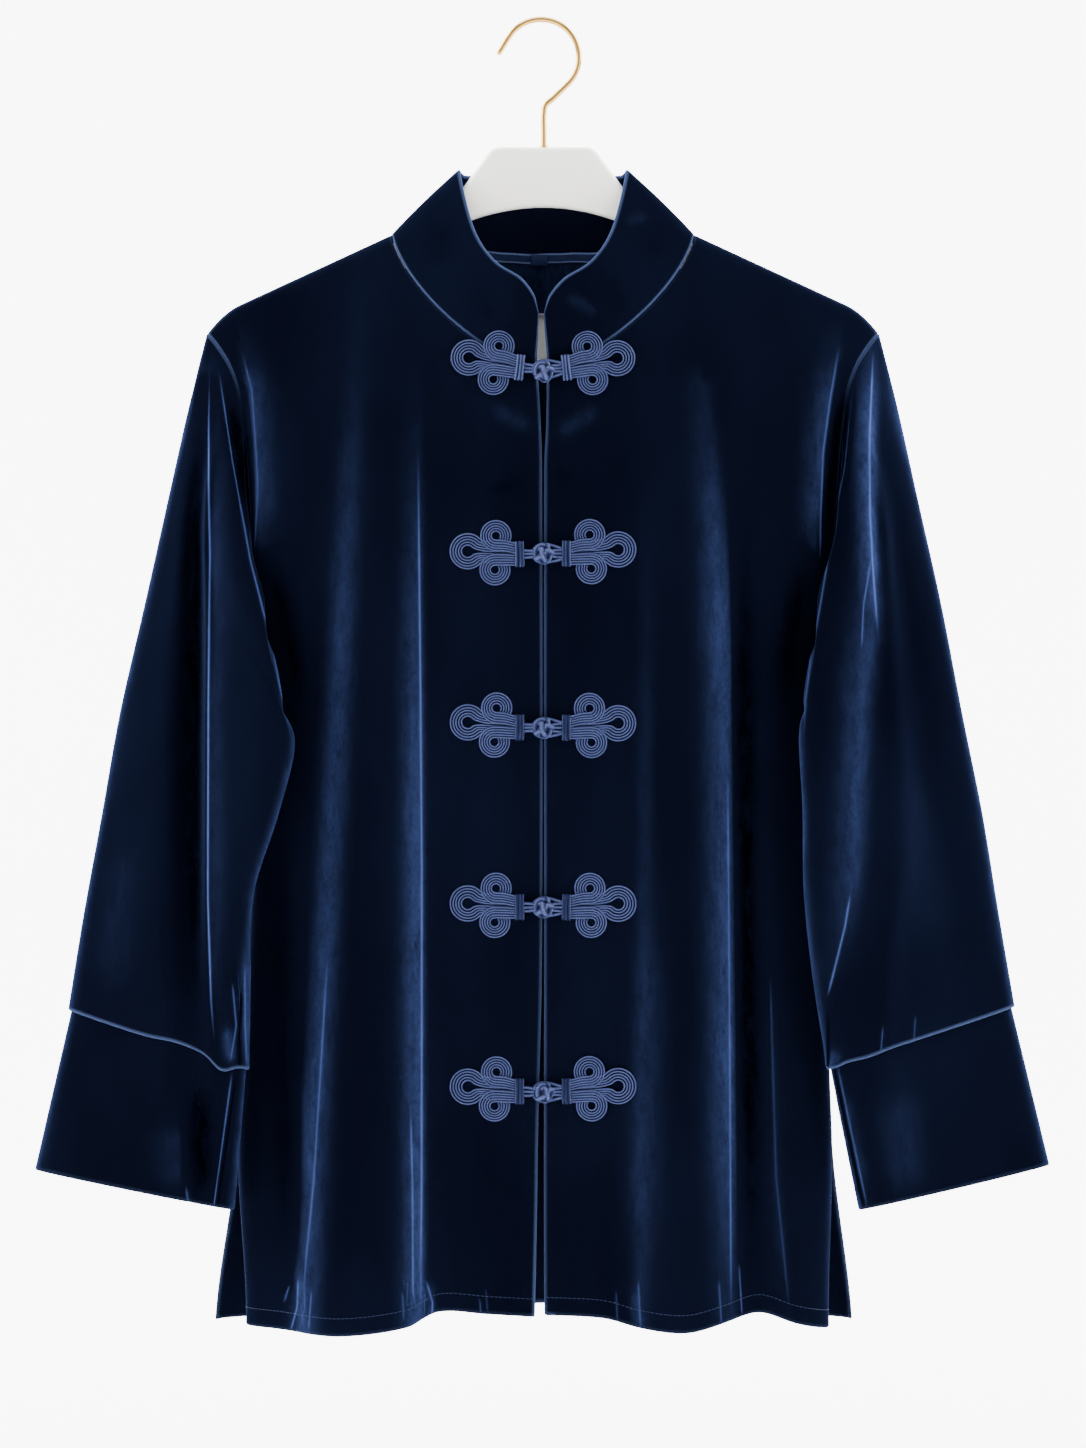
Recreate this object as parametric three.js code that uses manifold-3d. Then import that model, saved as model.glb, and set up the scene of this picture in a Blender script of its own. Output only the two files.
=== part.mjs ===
// A velvet jacket with a stand collar and five frog closures, hanging on an ivory hanger.
// Millimetres, +Z up. The front faces -Y and the wearer's right side is at -X.
// The origin is the underside of the hook's crown, where a rail carries the hanger.
// "down" is the distance below the origin, so z = -down.
import * as THREE from 'three';
import Module from 'manifold-3d';
import { mergeVertices } from 'three/addons/utils/BufferGeometryUtils.js';

// ---------------------------------------------------------------- driving dimensions
const CLOTH = 1.8;                 // wall of the velvet with its facing
const COLLAR_WALL = 2.4;           // interfaced collar
const SEAM = 0.3;                  // gap between two pieces at a seam
const ARM_SEAM = 0.5;              // gap at the armhole, whose walls meet at a corner
const NECK_HALF = 97;              // half width of the neck at the shoulder seam
const NECK_DOWN = 136;             // neck points
const FRONT_NECK_DOWN = 224;       // neck seam at the centre front
const BACK_NECK_DOWN = 149;        // neck seam at the centre back
const NECK_ROUND = 1.45;           // superellipse power of the neck seam
const SHOULDER_SLOPE = 0.459;      // drop of the shoulder seam for each mm outwards
const SHOULDER_ROUND = 0.02;       // extra drop near the shoulder tip
const SHOULDER_ROUND_FROM = 194;
const TIP_ACROSS = 215;            // shoulder tip
const UNDERARM_DOWN = 415;
const VENT_DOWN = 709;             // top of the side vents
const BACK_HEM = { middle: 824, side: 831 };
const ARM_ROUND = 8;               // radius of the cloth over the hanger's arm
const FILL_DROP = 60;              // drop over which the body reaches its full depth
const SIDE_BACK = 6;               // the side seam lies a little behind the hanger's plane
const BODY_POWER = 2.6;            // superellipse power of the body's plan

// ---------------------------------------------------------------- tables
// body plan: half widths of each side, and depths of front and back from the hanger's plane
const BODY = [
  { down: 130, left: 232, right: 230, front: 44, back: 42 },
  { down: 200, left: 240, right: 238, front: 47, back: 44 },
  { down: 300, left: 222, right: 220, front: 50, back: 46 },
  { down: 360, left: 204, right: 202, front: 51, back: 46 },
  { down: 415, left: 182, right: 179, front: 51, back: 46 },
  { down: 560, left: 187, right: 180, front: 51, back: 46 },
  { down: 709, left: 195, right: 185, front: 52, back: 45 },
  { down: 845, left: 200, right: 190, front: 54, back: 44 },
];
// beyond the vent's top the front's side edge swings in and forwards, the back's out and backwards
const VENT_FLARE = {
  front: { left: -10, right: -7, depth: -14 },
  back: { left: 11, right: 9, depth: 4 },
};
// armhole seam, by the part t of its drop from the shoulder tip to the underarm
const ARMHOLE = [
  { t: 0, across: 215 },
  { t: 0.04, across: 208 },
  { t: 0.1, across: 200 },
  { t: 0.18, across: 194 },
  { t: 0.35, across: 189.5 },
  { t: 0.55, across: 186.5 },
  { t: 0.78, across: 182.5 },
  { t: 1, across: 180.5 },
];
// soft folds as slopes of the panel: place at the top and hem, where one starts, its width,
// and how far the panel rises towards the viewer when going outwards
const FRONT_SLOPES = {
  left: [
    { top: 82, hem: 75, from: 230, width: 8, rise: 13 },
    { top: 120, hem: 156, from: 210, width: 13, rise: -17 },
  ],
  right: [
    { top: 70, hem: 58, from: 420, width: 15, rise: 8 },
    { top: 104, hem: 121, from: 230, width: 8, rise: -14 },
    { top: 140, hem: 158, from: 480, width: 9, rise: 9 },
  ],
};
const BACK_SLOPES = {
  left: [
    { top: 58, hem: 66, from: 260, width: 12, rise: 10 },
    { top: 112, hem: 130, from: 300, width: 14, rise: -12 },
  ],
  right: [
    { top: 74, hem: 82, from: 240, width: 11, rise: 11 },
    { top: 128, hem: 142, from: 320, width: 12, rise: -12 },
  ],
};
// front hem, lowest where a fold comes forwards
const FRONT_HEM = {
  left: [
    { across: 0, down: 823.5 }, { across: 35, down: 821.5 }, { across: 66, down: 820 },
    { across: 86, down: 829 }, { across: 127, down: 835 }, { across: 165, down: 833 },
    { across: 190, down: 832 },
  ],
  right: [
    { across: 0, down: 822 }, { across: 38, down: 824 }, { across: 62, down: 830 },
    { across: 91, down: 833 }, { across: 119, down: 826 }, { across: 138, down: 822 },
    { across: 160, down: 829 }, { across: 184, down: 834 },
  ],
};
// centre-front edges: distance of each side's edge from the centre plane
const FRONT_EDGE = [
  { down: 180, left: 4.2, right: 1.6 },
  { down: 189, left: 2.8, right: 0.6 },
  { down: 214, left: 3.8, right: 2.2 },
  { down: 226, left: 3.2, right: 2.5 },
  { down: 261, left: 1.2, right: 1.9 },
  { down: 287, left: 0.5, right: 0.7 },
  { down: 594, left: 0.5, right: 0.6 },
  { down: 703, left: 2.9, right: 0.5 },
  { down: 754, left: 3.6, right: 0.5 },
  { down: 845, left: 5.4, right: 0.8 },
];
// top edge of the collar: along is 0 at the centre front, 1 at the shoulder seam, 2 at the back
const COLLAR_TOP = [
  { along: 0, across: 0, depth: -41, down: 189 },
  { along: 0.12, across: 3, depth: -42, down: 178 },
  { along: 0.28, across: 13, depth: -41, down: 166.5 },
  { along: 0.5, across: 30, depth: -35, down: 155 },
  { along: 0.75, across: 43.5, depth: -23, down: 134 },
  { along: 1, across: 53, depth: -4, down: 97 },
  { along: 1.35, across: 50, depth: 14, down: 96 },
  { along: 1.65, across: 32, depth: 24, down: 97 },
  { along: 2, across: 0, depth: 27, down: 98 },
];
const COLLAR_CROWN = 2.5;          // how far the collar bows outwards halfway up
// sleeves: outer and inner rails, front and back fullness, and the front fold's ridge and valley
const SLEEVE = {
  left: [
    { along: 0, outX: 215, outDown: 199, outY: 0, inX: 182, inDown: 415, inY: 6,
      front: 30, back: 30, fold: 0.06, ridge: 0, valley: 0 },
    { along: 0.1, outX: 227, outDown: 246, outY: 2, inX: 185, inDown: 426, inY: -14,
      front: 28, back: 36, fold: 0.2, ridge: 4, valley: 3 },
    { along: 0.2, outX: 240, outDown: 304, outY: 3, inX: 170, inDown: 440, inY: -36,
      front: 20, back: 31, fold: 0.34, ridge: 6, valley: 6 },
    { along: 0.32, outX: 255, outDown: 371, outY: 4, inX: 159, inDown: 461, inY: -43,
      front: 17, back: 18, fold: 0.43, ridge: 7, valley: 8 },
    { along: 0.46, outX: 271, outDown: 441, outY: 4, inX: 167, inDown: 505, inY: -43,
      front: 15, back: 18, fold: 0.56, ridge: 7, valley: 9 },
    { along: 0.62, outX: 282.5, outDown: 506, outY: 3, inX: 183, inDown: 556, inY: -40,
      front: 15, back: 19, fold: 0.7, ridge: 6, valley: 8.5 },
    { along: 0.8, outX: 294, outDown: 570, outY: 1, inX: 186, inDown: 612, inY: -38,
      front: 15, back: 19, fold: 0.76, ridge: 4, valley: 6 },
    { along: 1, outX: 304, outDown: 632, outY: 0, inX: 186, inDown: 668, inY: -36,
      front: 15, back: 19, fold: 0.8, ridge: 2, valley: 3 },
  ],
  right: [
    { along: 0, outX: 215, outDown: 199, outY: 0, inX: 179, inDown: 415, inY: 6,
      front: 30, back: 30, fold: 0.06, ridge: 0, valley: 0 },
    { along: 0.1, outX: 227, outDown: 246, outY: 2, inX: 183, inDown: 426, inY: -14,
      front: 28, back: 36, fold: 0.2, ridge: 3, valley: 2 },
    { along: 0.2, outX: 240, outDown: 304, outY: 3, inX: 170, inDown: 438, inY: -36,
      front: 21, back: 31, fold: 0.3, ridge: 5, valley: 4 },
    { along: 0.32, outX: 255, outDown: 371, outY: 4, inX: 164, inDown: 456, inY: -42,
      front: 18, back: 18, fold: 0.36, ridge: 5, valley: 5 },
    { along: 0.46, outX: 268.5, outDown: 441, outY: 4, inX: 164, inDown: 500, inY: -44,
      front: 17, back: 18, fold: 0.4, ridge: 4, valley: 4.5 },
    { along: 0.62, outX: 281.5, outDown: 506, outY: 3, inX: 165, inDown: 556, inY: -44,
      front: 16, back: 18, fold: 0.45, ridge: 3, valley: 3 },
    { along: 0.8, outX: 291.5, outDown: 568, outY: 1, inX: 171, inDown: 612, inY: -41,
      front: 16, back: 19, fold: 0.6, ridge: 3, valley: 2 },
    { along: 1, outX: 302, outDown: 630, outY: 0, inX: 180, inDown: 667, inY: -38,
      front: 16, back: 19, fold: 0.7, ridge: 3, valley: 2 },
  ],
};
const RIDGE_WIDTH = 12;
const VALLEY_WIDTH = 16;
const VALLEY_OUTWARDS = 20;        // the valley lies this far outside the ridge
// cuffs: mouth of the cuff, and the lap of the sleeve's hem over it
const CUFF = {
  left: { outX: 325, outDown: 734, outY: -2, inX: 198, inDown: 757, inY: -36, front: 14, back: 17 },
  right: { outX: 324, outDown: 731, outY: -2, inX: 200, inDown: 757, inY: -37, front: 14, back: 17 },
};
const CUFF_LAP = 9;
const CUFF_INSET = CLOTH + 0.4;
// frog closures: height of each knot, and the lobes of one half, measured outwards from the
// centre plane and upwards from the knot
const FROG_DOWN = [226.5, 341.5, 451.5, 564.5, 681];
const FROG_CORD = 2.6;             // thickness of the coiled cord on the panel
const PANEL_GAP = 0.4;             // play between a frog's plate and the faceted cloth
const LOBES = [
  { out: 47.5, up: 2.5, radius: 11.6, hole: 3.4 },
  { out: 29.5, up: 12, radius: 10, hole: 2.6 },
  { out: 30.5, up: -9.5, radius: 10, hole: 2.6 },
];
const BAND = { from: 12, to: 17.4, half: 7.4 };
const STEM = { from: 7.3, half: 4 };
const KNOT_RADIUS = 6.8;
const KNOT_LIFT = 7.4;             // knot centre before the panels' front surface
// hanger and hook
const HANGER_THICK = 10;
const HANGER_EDGE = 3.4;           // rounding of the hanger's edges
const HANGER_SEAT = 5.6;           // hanger's top below the shoulder seam's outer surface
const TIP_DROP = 1.4;              // extra play over the hanger's arm near its end
const HANGER_END = 188;
// half of the hanger: plate, its foot, the bend into the arm, the arm's underside and the arch
const HANGER = {
  plate: 35, neck: 57, neckDown: 115, bend: 70, bendDown: 134, arm: 92,
  under: 110, underDown: 170, underBend: 140, tipUnder: 206,
  arch: 50, archDown: 128, archTop: 108,
};
const WIRE = 1.9;                  // radius of the hook's wire
const HOOK_RADIUS = 24.3;
const HOOK_X = -1.3;
const STEM_X = 0.6;
const PLATE_DOWN = 80;
const BORE_DEPTH = 16;
// small pieces at the back neck
const TAPE = { half: 78, width: 6.5, thick: 0.9 };
const LOOP = { from: -8, to: 3, height: 7.5, thick: 1.2 };
const LABEL = { half: 23, top: 184, height: 40, thick: 0.9 };

// ---------------------------------------------------------------- grid counts
const ROWS = 26;                   // rows of a body panel
const NECK_ROWS = 8;               // of which down the neck seam
const ARM_ROWS = 11;               // of which down the armhole
const VENT_ROW = 21;               // row at the top of the vent
const FRONT_COLS = 15;
const BACK_SHOULDER_COLS = 8;
const BACK_NECK_COLS = 8;
const SLEEVE_ROWS = 17;
const COLLAR_ROWS = 5;

// ---------------------------------------------------------------- small maths
const clamp = (t) => Math.min(1, Math.max(0, t));
const mix = (a, b, t) => a + (b - a) * t;
const ease = (t) => clamp(t) ** 2 * (3 - 2 * clamp(t));
const bell = (d, w) => Math.exp(-(d * d) / (w * w));
const slope = (d, w) => 0.5 * (1 + Math.tanh(d / w));
const sign = (side) => (side === 'left' ? -1 : 1);

// smooth value of a table's column at a place along its first column
function lookup(rows, by, key, at) {
  const last = rows.length - 1;
  const place = Math.min(rows[last][by], Math.max(rows[0][by], at));
  let i = 0;
  while (i < last - 1 && place > rows[i + 1][by]) i += 1;
  const tangent = (k) => {
    const a = Math.max(0, k - 1);
    const b = Math.min(last, k + 1);
    return (rows[b][key] - rows[a][key]) / (rows[b][by] - rows[a][by]);
  };
  const width = rows[i + 1][by] - rows[i][by];
  const t = (place - rows[i][by]) / width;
  const h00 = 2 * t ** 3 - 3 * t ** 2 + 1;
  const h10 = t ** 3 - 2 * t ** 2 + t;
  const h01 = 3 * t ** 2 - 2 * t ** 3;
  const h11 = t ** 3 - t ** 2;
  return h00 * rows[i][key] + h10 * width * tangent(i)
    + h01 * rows[i + 1][key] + h11 * width * tangent(i + 1);
}

// ---------------------------------------------------------------- the body's draped surface
const shoulderDown = (across) => NECK_DOWN + SHOULDER_SLOPE * (across - NECK_HALF)
  + SHOULDER_ROUND * Math.max(0, across - SHOULDER_ROUND_FROM) ** 2;

const ventOpen = (down) => ease((down - VENT_DOWN) / 130);

function halfWidth(face, side, down) {
  return lookup(BODY, 'down', side, down) + VENT_FLARE[face][side] * ventOpen(down);
}

function foldRise(face, side, across, down) {
  const table = face === 'front' ? FRONT_SLOPES[side] : BACK_SLOPES[side];
  let rise = 0;
  for (const s of table) {
    const place = mix(s.top, s.hem, clamp((down - s.from) / (830 - s.from)));
    const grown = ease((down - s.from) / 420);
    rise += s.rise * grown * slope(across - place, s.width);
  }
  return rise;
}

// point of the outer surface; turn is 0 at the centre plane and 1 at the side seam
function bodyPoint(face, side, turn, down) {
  const width = halfWidth(face, side, down);
  const fraction = Math.sin(turn * Math.PI / 2);
  const across = width * fraction;
  const round = (1 - fraction ** BODY_POWER) ** (1 / BODY_POWER);
  const drop = Math.max(0, down - shoulderDown(across));
  const over = ARM_ROUND * Math.sqrt(Math.max(0, 1 - (1 - Math.min(1, drop / ARM_ROUND)) ** 2));
  const filled = 1 - Math.exp(-drop / FILL_DROP);
  const edge = (SIDE_BACK + VENT_FLARE[face].depth * ventOpen(down)) * filled;
  const full = lookup(BODY, 'down', face, down) + (face === 'front' ? edge : -edge);
  const fold = foldRise(face, side, across, down) * ease((1 - turn) / 0.3);
  const depth = round * (over * (1 - filled) + full * filled) + fold * filled;
  return new THREE.Vector3(sign(side) * across, face === 'front' ? edge - depth : edge + depth, -down);
}

const turnOf = (face, side, across, down) =>
  Math.asin(Math.min(1, across / halfWidth(face, side, down))) * 2 / Math.PI;

// ---------------------------------------------------------------- panel outlines, as turn and down
function armholeTurn(face, side, t) {
  const down = mix(shoulderDown(TIP_ACROSS), UNDERARM_DOWN, t);
  if (t >= 1) return { turn: 1, down };
  return { turn: turnOf(face, side, lookup(ARMHOLE, 't', 'across', t), down), down };
}

function hemDown(face, side, across) {
  const front = lookup(FRONT_HEM[side], 'across', 'down', across);
  return face === 'front' ? front : mix(BACK_HEM.middle, BACK_HEM.side, across / 200);
}

// outer column of a body panel: armhole, side seam, vent
function sideColumn(face, side, row) {
  if (row <= ARM_ROWS) return armholeTurn(face, side, (row / ARM_ROWS) ** 1.3);
  if (row <= VENT_ROW) {
    return { turn: 1, down: mix(UNDERARM_DOWN, VENT_DOWN, (row - ARM_ROWS) / (VENT_ROW - ARM_ROWS)) };
  }
  const hem = hemDown(face, side, halfWidth(face, side, 840));
  return { turn: 1, down: mix(VENT_DOWN, hem, (row - VENT_ROW) / (ROWS - VENT_ROW)) };
}

// inner column of a front: neck seam from the neck point, then the centre-front edge
function frontColumn(side, row) {
  if (row <= NECK_ROWS) {
    const angle = (row / NECK_ROWS) ** 1.25 * Math.PI / 2;
    const power = 2 / NECK_ROUND;
    const edge = lookup(FRONT_EDGE, 'down', side, FRONT_NECK_DOWN);
    const across = edge + (NECK_HALF - edge) * Math.max(0, Math.cos(angle)) ** power;
    const down = NECK_DOWN + (FRONT_NECK_DOWN - NECK_DOWN) * Math.sin(angle) ** power;
    return { turn: turnOf('front', side, across, down), down };
  }
  const hem = hemDown('front', side, 3);
  const down = mix(FRONT_NECK_DOWN, hem, (row - NECK_ROWS) / (ROWS - NECK_ROWS));
  return { turn: turnOf('front', side, lookup(FRONT_EDGE, 'down', side, down), down), down };
}

// transfinite blend of four border curves, for the row and column parts v and u
function blend(left, right, top, bottom, u, v, corners) {
  const part = (key) => (1 - u) * left[key] + u * right[key] + (1 - v) * top[key] + v * bottom[key]
    - (1 - u) * (1 - v) * corners[0][key] - u * (1 - v) * corners[1][key]
    - (1 - u) * v * corners[2][key] - u * v * corners[3][key];
  return { turn: part('turn'), down: part('down') };
}

function frontGrid(side) {
  const top = (u) => {
    const across = mix(NECK_HALF, TIP_ACROSS, u);
    const down = shoulderDown(across);
    return { turn: turnOf('front', side, across, down), down };
  };
  const bottom = (u) => {
    const edge = frontColumn(side, ROWS).turn;
    const turn = mix(edge, 1, u);
    const across = halfWidth('front', side, 840) * Math.sin(turn * Math.PI / 2);
    return { turn, down: hemDown('front', side, across) };
  };
  const corners = [top(0), top(1), bottom(0), bottom(1)];
  const grid = [];
  for (let row = 0; row <= ROWS; row += 1) {
    const v = (row / ROWS) ** 1.5;
    const line = [];
    for (let col = 0; col <= FRONT_COLS; col += 1) {
      const u = col / FRONT_COLS;
      const at = blend(frontColumn(side, row), sideColumn('front', side, row), top(u), bottom(u),
        u, v, corners);
      line.push(bodyPoint('front', side, clamp(at.turn), at.down));
    }
    grid.push(line);
  }
  return grid;
}

// the back runs from the left side to the right; its top edge is shoulder, neck, shoulder
function backGrid() {
  const neckAt = (across) => {
    const dip = Math.sqrt(Math.max(0, 1 - (across / NECK_HALF) ** 2));
    return mix(NECK_DOWN, BACK_NECK_DOWN, dip ** 1.1);
  };
  const half = BACK_SHOULDER_COLS + BACK_NECK_COLS / 2;
  const borders = (side) => {
    const top = (n) => {
      // n counts columns from the centre back outwards
      const neckCols = BACK_NECK_COLS / 2;
      const across = n <= neckCols
        ? NECK_HALF * Math.sin(n / neckCols * Math.PI / 2)
        : mix(NECK_HALF, TIP_ACROSS, (n - neckCols) / BACK_SHOULDER_COLS);
      const down = n <= neckCols ? neckAt(across) : shoulderDown(across);
      return { turn: turnOf('back', side, across, down), down };
    };
    const bottom = (n) => {
      const turn = n / half;
      const across = halfWidth('back', side, 840) * Math.sin(turn * Math.PI / 2);
      return { turn, down: hemDown('back', side, across) };
    };
    return { top, bottom, corners: [top(0), top(half), bottom(0), bottom(half)] };
  };
  const grid = [];
  for (let row = 0; row <= ROWS; row += 1) {
    const v = (row / ROWS) ** 1.5;
    const line = [];
    for (let col = -half; col <= half; col += 1) {
      const side = col < 0 ? 'left' : 'right';
      const n = Math.abs(col);
      const { top, bottom, corners } = borders(side);
      const middle = { turn: 0, down: mix(corners[0].down, corners[2].down, v) };
      const at = blend(middle, sideColumn('back', side, row), top(n), bottom(n), n / half, v, corners);
      line.push(bodyPoint('back', side, clamp(at.turn), at.down));
    }
    grid.push(line);
  }
  return grid;
}

// ---------------------------------------------------------------- sleeves, cuffs and collar
// a ring of the arm: part 0 is the outer rail, 1 the inner rail; front then back
function armRing(side, shape, part, isFront) {
  const s = sign(side);
  const angle = part * Math.PI;
  const m = (1 - Math.cos(angle)) / 2;
  const bulge = Math.max(0, Math.sin(angle)) ** 0.85;
  let y = mix(shape.outY, shape.inY, m);
  y += isFront ? -shape.front * bulge : shape.back * bulge;
  if (isFront && shape.ridge) {
    const span = Math.hypot(shape.outX - shape.inX, shape.outDown - shape.inDown);
    const past = (m - shape.fold) * span;
    y -= shape.ridge * bell(past, RIDGE_WIDTH);
    y += shape.valley * bell(past + VALLEY_OUTWARDS, VALLEY_WIDTH) * Math.min(1, bulge * 1.4);
  }
  return new THREE.Vector3(s * mix(shape.outX, shape.inX, m), y, -mix(shape.outDown, shape.inDown, m));
}

function sleeveGrid(side, armhole) {
  const count = armhole.length;
  const half = count / 2;
  const keys = Object.keys(SLEEVE[side][0]).filter((k) => k !== 'along');
  const start = SLEEVE[side][0];
  const grid = [armhole.map((p) => p.clone())];
  for (let row = 1; row <= SLEEVE_ROWS; row += 1) {
    const along = (row / SLEEVE_ROWS) ** 1.15;
    const shape = {};
    for (const k of keys) shape[k] = lookup(SLEEVE[side], 'along', k, along);
    const settled = ease(along / 0.2);
    const line = [];
    for (let n = 0; n < count; n += 1) {
      const isFront = n <= half;
      const part = isFront ? n / half : (count - n) / half;
      const ring = armRing(side, shape, part, isFront);
      const m = (1 - Math.cos(part * Math.PI)) / 2;
      const s = sign(side);
      const carried = armhole[n].clone().add(new THREE.Vector3(
        s * mix(shape.outX - start.outX, shape.inX - start.inX, m),
        mix(shape.outY - start.outY, shape.inY - start.inY, m),
        -mix(shape.outDown - start.outDown, shape.inDown - start.inDown, m),
      ));
      line.push(carried.lerp(ring, settled));
    }
    grid.push(line);
  }
  return grid;
}

function cuffGrid(side, sleeve, sleeveNormals) {
  const last = sleeve.length - 1;
  const inset = (row) => sleeve[row].map((p, n) =>
    p.clone().addScaledVector(sleeveNormals[row][n], -CUFF_INSET));
  const hem = inset(last);
  const above = inset(last - 1).map((p, n) => {
    const run = p.clone().sub(hem[n]);
    return hem[n].clone().addScaledVector(run, CUFF_LAP / run.length());
  });
  const count = hem.length;
  const half = count / 2;
  const mouth = hem.map((p, n) => {
    const isFront = n <= half;
    const part = isFront ? n / half : (count - n) / half;
    return armRing(side, { ...CUFF[side], ridge: 0 }, part, isFront);
  });
  const between = (t) => hem.map((p, n) => p.clone().lerp(mouth[n], t));
  return [above, hem, between(0.33), between(0.66), mouth];
}

function collarGrid(seam) {
  const last = seam.length - 1;
  const grid = [];
  const place = (col) => {
    const fromLeft = col <= last / 2;
    const side = fromLeft ? 'left' : 'right';
    const n = fromLeft ? col : last - col;
    const along = n <= NECK_ROWS ? n / NECK_ROWS : 1 + (n - NECK_ROWS) / (BACK_NECK_COLS / 2);
    return { side, along };
  };
  for (let row = 0; row <= COLLAR_ROWS; row += 1) {
    const w = row / COLLAR_ROWS;
    const line = seam.map((base, col) => {
      const { side, along } = place(col);
      const gap = Math.max(0, 1 - along / 0.3);
      const down = lookup(COLLAR_TOP, 'along', 'down', along);
      const edge = lookup(FRONT_EDGE, 'down', side, down) * gap;
      const top = new THREE.Vector3(
        sign(side) * (lookup(COLLAR_TOP, 'along', 'across', along) + edge),
        lookup(COLLAR_TOP, 'along', 'depth', along),
        -down,
      );
      const p = base.clone().lerp(top, w);
      if (along === 0) {
        p.x = sign(side) * lookup(FRONT_EDGE, 'down', side, -p.z);
      }
      const centre = new THREE.Vector3(0, -8, p.z);
      const outwards = p.clone().sub(centre).setZ(0).normalize();
      return p.addScaledVector(outwards, COLLAR_CROWN * Math.sin(w * Math.PI) * Math.min(1, along * 3));
    });
    grid.push(line);
  }
  return grid;
}

// ---------------------------------------------------------------- walls from grids
function gridNormals(grid, closed, flip) {
  const rows = grid.length;
  const cols = grid[0].length;
  const at = (r, c) => grid[r][closed ? (c + cols) % cols : Math.min(cols - 1, Math.max(0, c))];
  return grid.map((line, r) => line.map((p, c) => {
    const across = at(r, c + 1).clone().sub(at(r, c - 1));
    const downwards = at(Math.min(rows - 1, r + 1), c).clone().sub(at(Math.max(0, r - 1), c));
    return downwards.cross(across).normalize().multiplyScalar(flip);
  }));
}

class Cloth {
  constructor(name, grid, thick, closed, flip) {
    this.name = name;
    this.grid = grid;
    this.thick = thick;
    this.closed = closed;
    this.normals = gridNormals(grid, closed, flip);
    this.flip = flip;
    const blank = () => grid.map((line) => line.map(() => new THREE.Vector3()));
    this.shift = blank();
    this.partner = blank();
  }

  // direction in the surface, square to a seam's run, that points out of the panel
  outOf(r, c, run) {
    const rows = this.grid.length;
    const cols = this.grid[0].length;
    const inRow = r === 0 ? 1 : rows - 2;
    const inCol = c === 0 ? 1 : cols - 2;
    const fromRow = r === 0 || r === rows - 1;
    const inner = this.closed || (fromRow && c > 0 && c < cols - 1)
      ? this.grid[inRow][c]
      : this.grid[fromRow ? inRow : r][inCol];
    const out = run.clone().cross(this.normals[r][c]).normalize();
    const inwards = inner.clone().sub(this.grid[r][c]);
    return out.multiplyScalar(inwards.dot(out) > 0 ? -1 : 1);
  }

  geometry() {
    const rows = this.grid.length;
    const cols = this.grid[0].length;
    const points = [];
    const inner = [];
    for (let r = 0; r < rows; r += 1) {
      for (let c = 0; c < cols; c += 1) {
        const p = this.grid[r][c].clone().add(this.shift[r][c]);
        const own = this.normals[r][c];
        const mean = own.clone().add(this.partner[r][c]).normalize();
        const reach = this.thick / Math.max(0.62, mean.dot(own));
        points.push(p);
        inner.push(p.clone().addScaledVector(mean, -reach));
      }
    }
    const all = [...points, ...inner];
    const faces = [];
    const id = (r, c) => r * cols + (c % cols);
    const offset = rows * cols;
    const quad = (a, b, c, d) => {
      faces.push(a, b, c, a, c, d);
    };
    const spans = this.closed ? cols : cols - 1;
    for (let r = 0; r < rows - 1; r += 1) {
      for (let c = 0; c < spans; c += 1) {
        const ring = [id(r, c), id(r + 1, c), id(r + 1, c + 1), id(r, c + 1)];
        quad(...ring);
        // along a folded sleeve both faces are split on one diagonal, so its wall keeps its thickness
        const inside = this.closed && r > 2 ? [0, 3, 2, 1] : [3, 2, 1, 0];
        quad(...inside.map((k) => ring[k] + offset));
      }
    }
    const rim = (a, b) => quad(b, a, a + offset, b + offset);
    for (let c = 0; c < spans; c += 1) {
      rim(id(0, c + 1), id(0, c));
      rim(id(rows - 1, c), id(rows - 1, c + 1));
    }
    if (!this.closed) {
      for (let r = 0; r < rows - 1; r += 1) {
        rim(id(r, 0), id(r + 1, 0));
        rim(id(r + 1, cols - 1), id(r, cols - 1));
      }
    }
    if (this.flip < 0) {
      for (let k = 0; k < faces.length; k += 3) [faces[k], faces[k + 1]] = [faces[k + 1], faces[k]];
    }
    const geometry = new THREE.BufferGeometry();
    geometry.setAttribute('position', new THREE.Float32BufferAttribute(all.flatMap((p) => p.toArray()), 3));
    geometry.setIndex(faces);
    geometry.computeVertexNormals();
    return geometry;
  }
}

// join two borders along a seam: at each stitch both panels move back by half the gap, and both
// walls end on the plane that halves the angle between the panels
function sew(a, b, stitches, gap = SEAM) {
  const last = stitches.length - 1;
  const place = (k) => a.grid[stitches[k].a[0]][stitches[k].a[1]];
  stitches.forEach((stitch, k) => {
    const run = place(Math.min(last, k + 1)).clone().sub(place(Math.max(0, k - 1)));
    const [ra, ca] = stitch.a;
    const [rb, cb] = stitch.b;
    const towards = a.outOf(ra, ca, run).sub(b.outOf(rb, cb, run)).normalize();
    a.shift[ra][ca].addScaledVector(towards, -gap / 2);
    b.shift[rb][cb].addScaledVector(towards, gap / 2);
    a.partner[ra][ca].add(b.normals[rb][cb]);
    b.partner[rb][cb].add(a.normals[ra][ca]);
  });
}
const run = (from, to, stitch) => {
  const list = [];
  const step = Math.sign(to - from);
  for (let k = from; k !== to + step; k += step) list.push(stitch(k));
  return list;
};

// ---------------------------------------------------------------- cut and sew
const fronts = {
  left: new Cloth('front_left', frontGrid('left'), CLOTH, false, -1),
  right: new Cloth('front_right', frontGrid('right'), CLOTH, false, 1),
};
const back = new Cloth('back', backGrid(), CLOTH, false, -1);
const lastBackCol = back.grid[0].length - 1;
const backSide = (side, n) => (side === 'left' ? n : lastBackCol - n);

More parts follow.
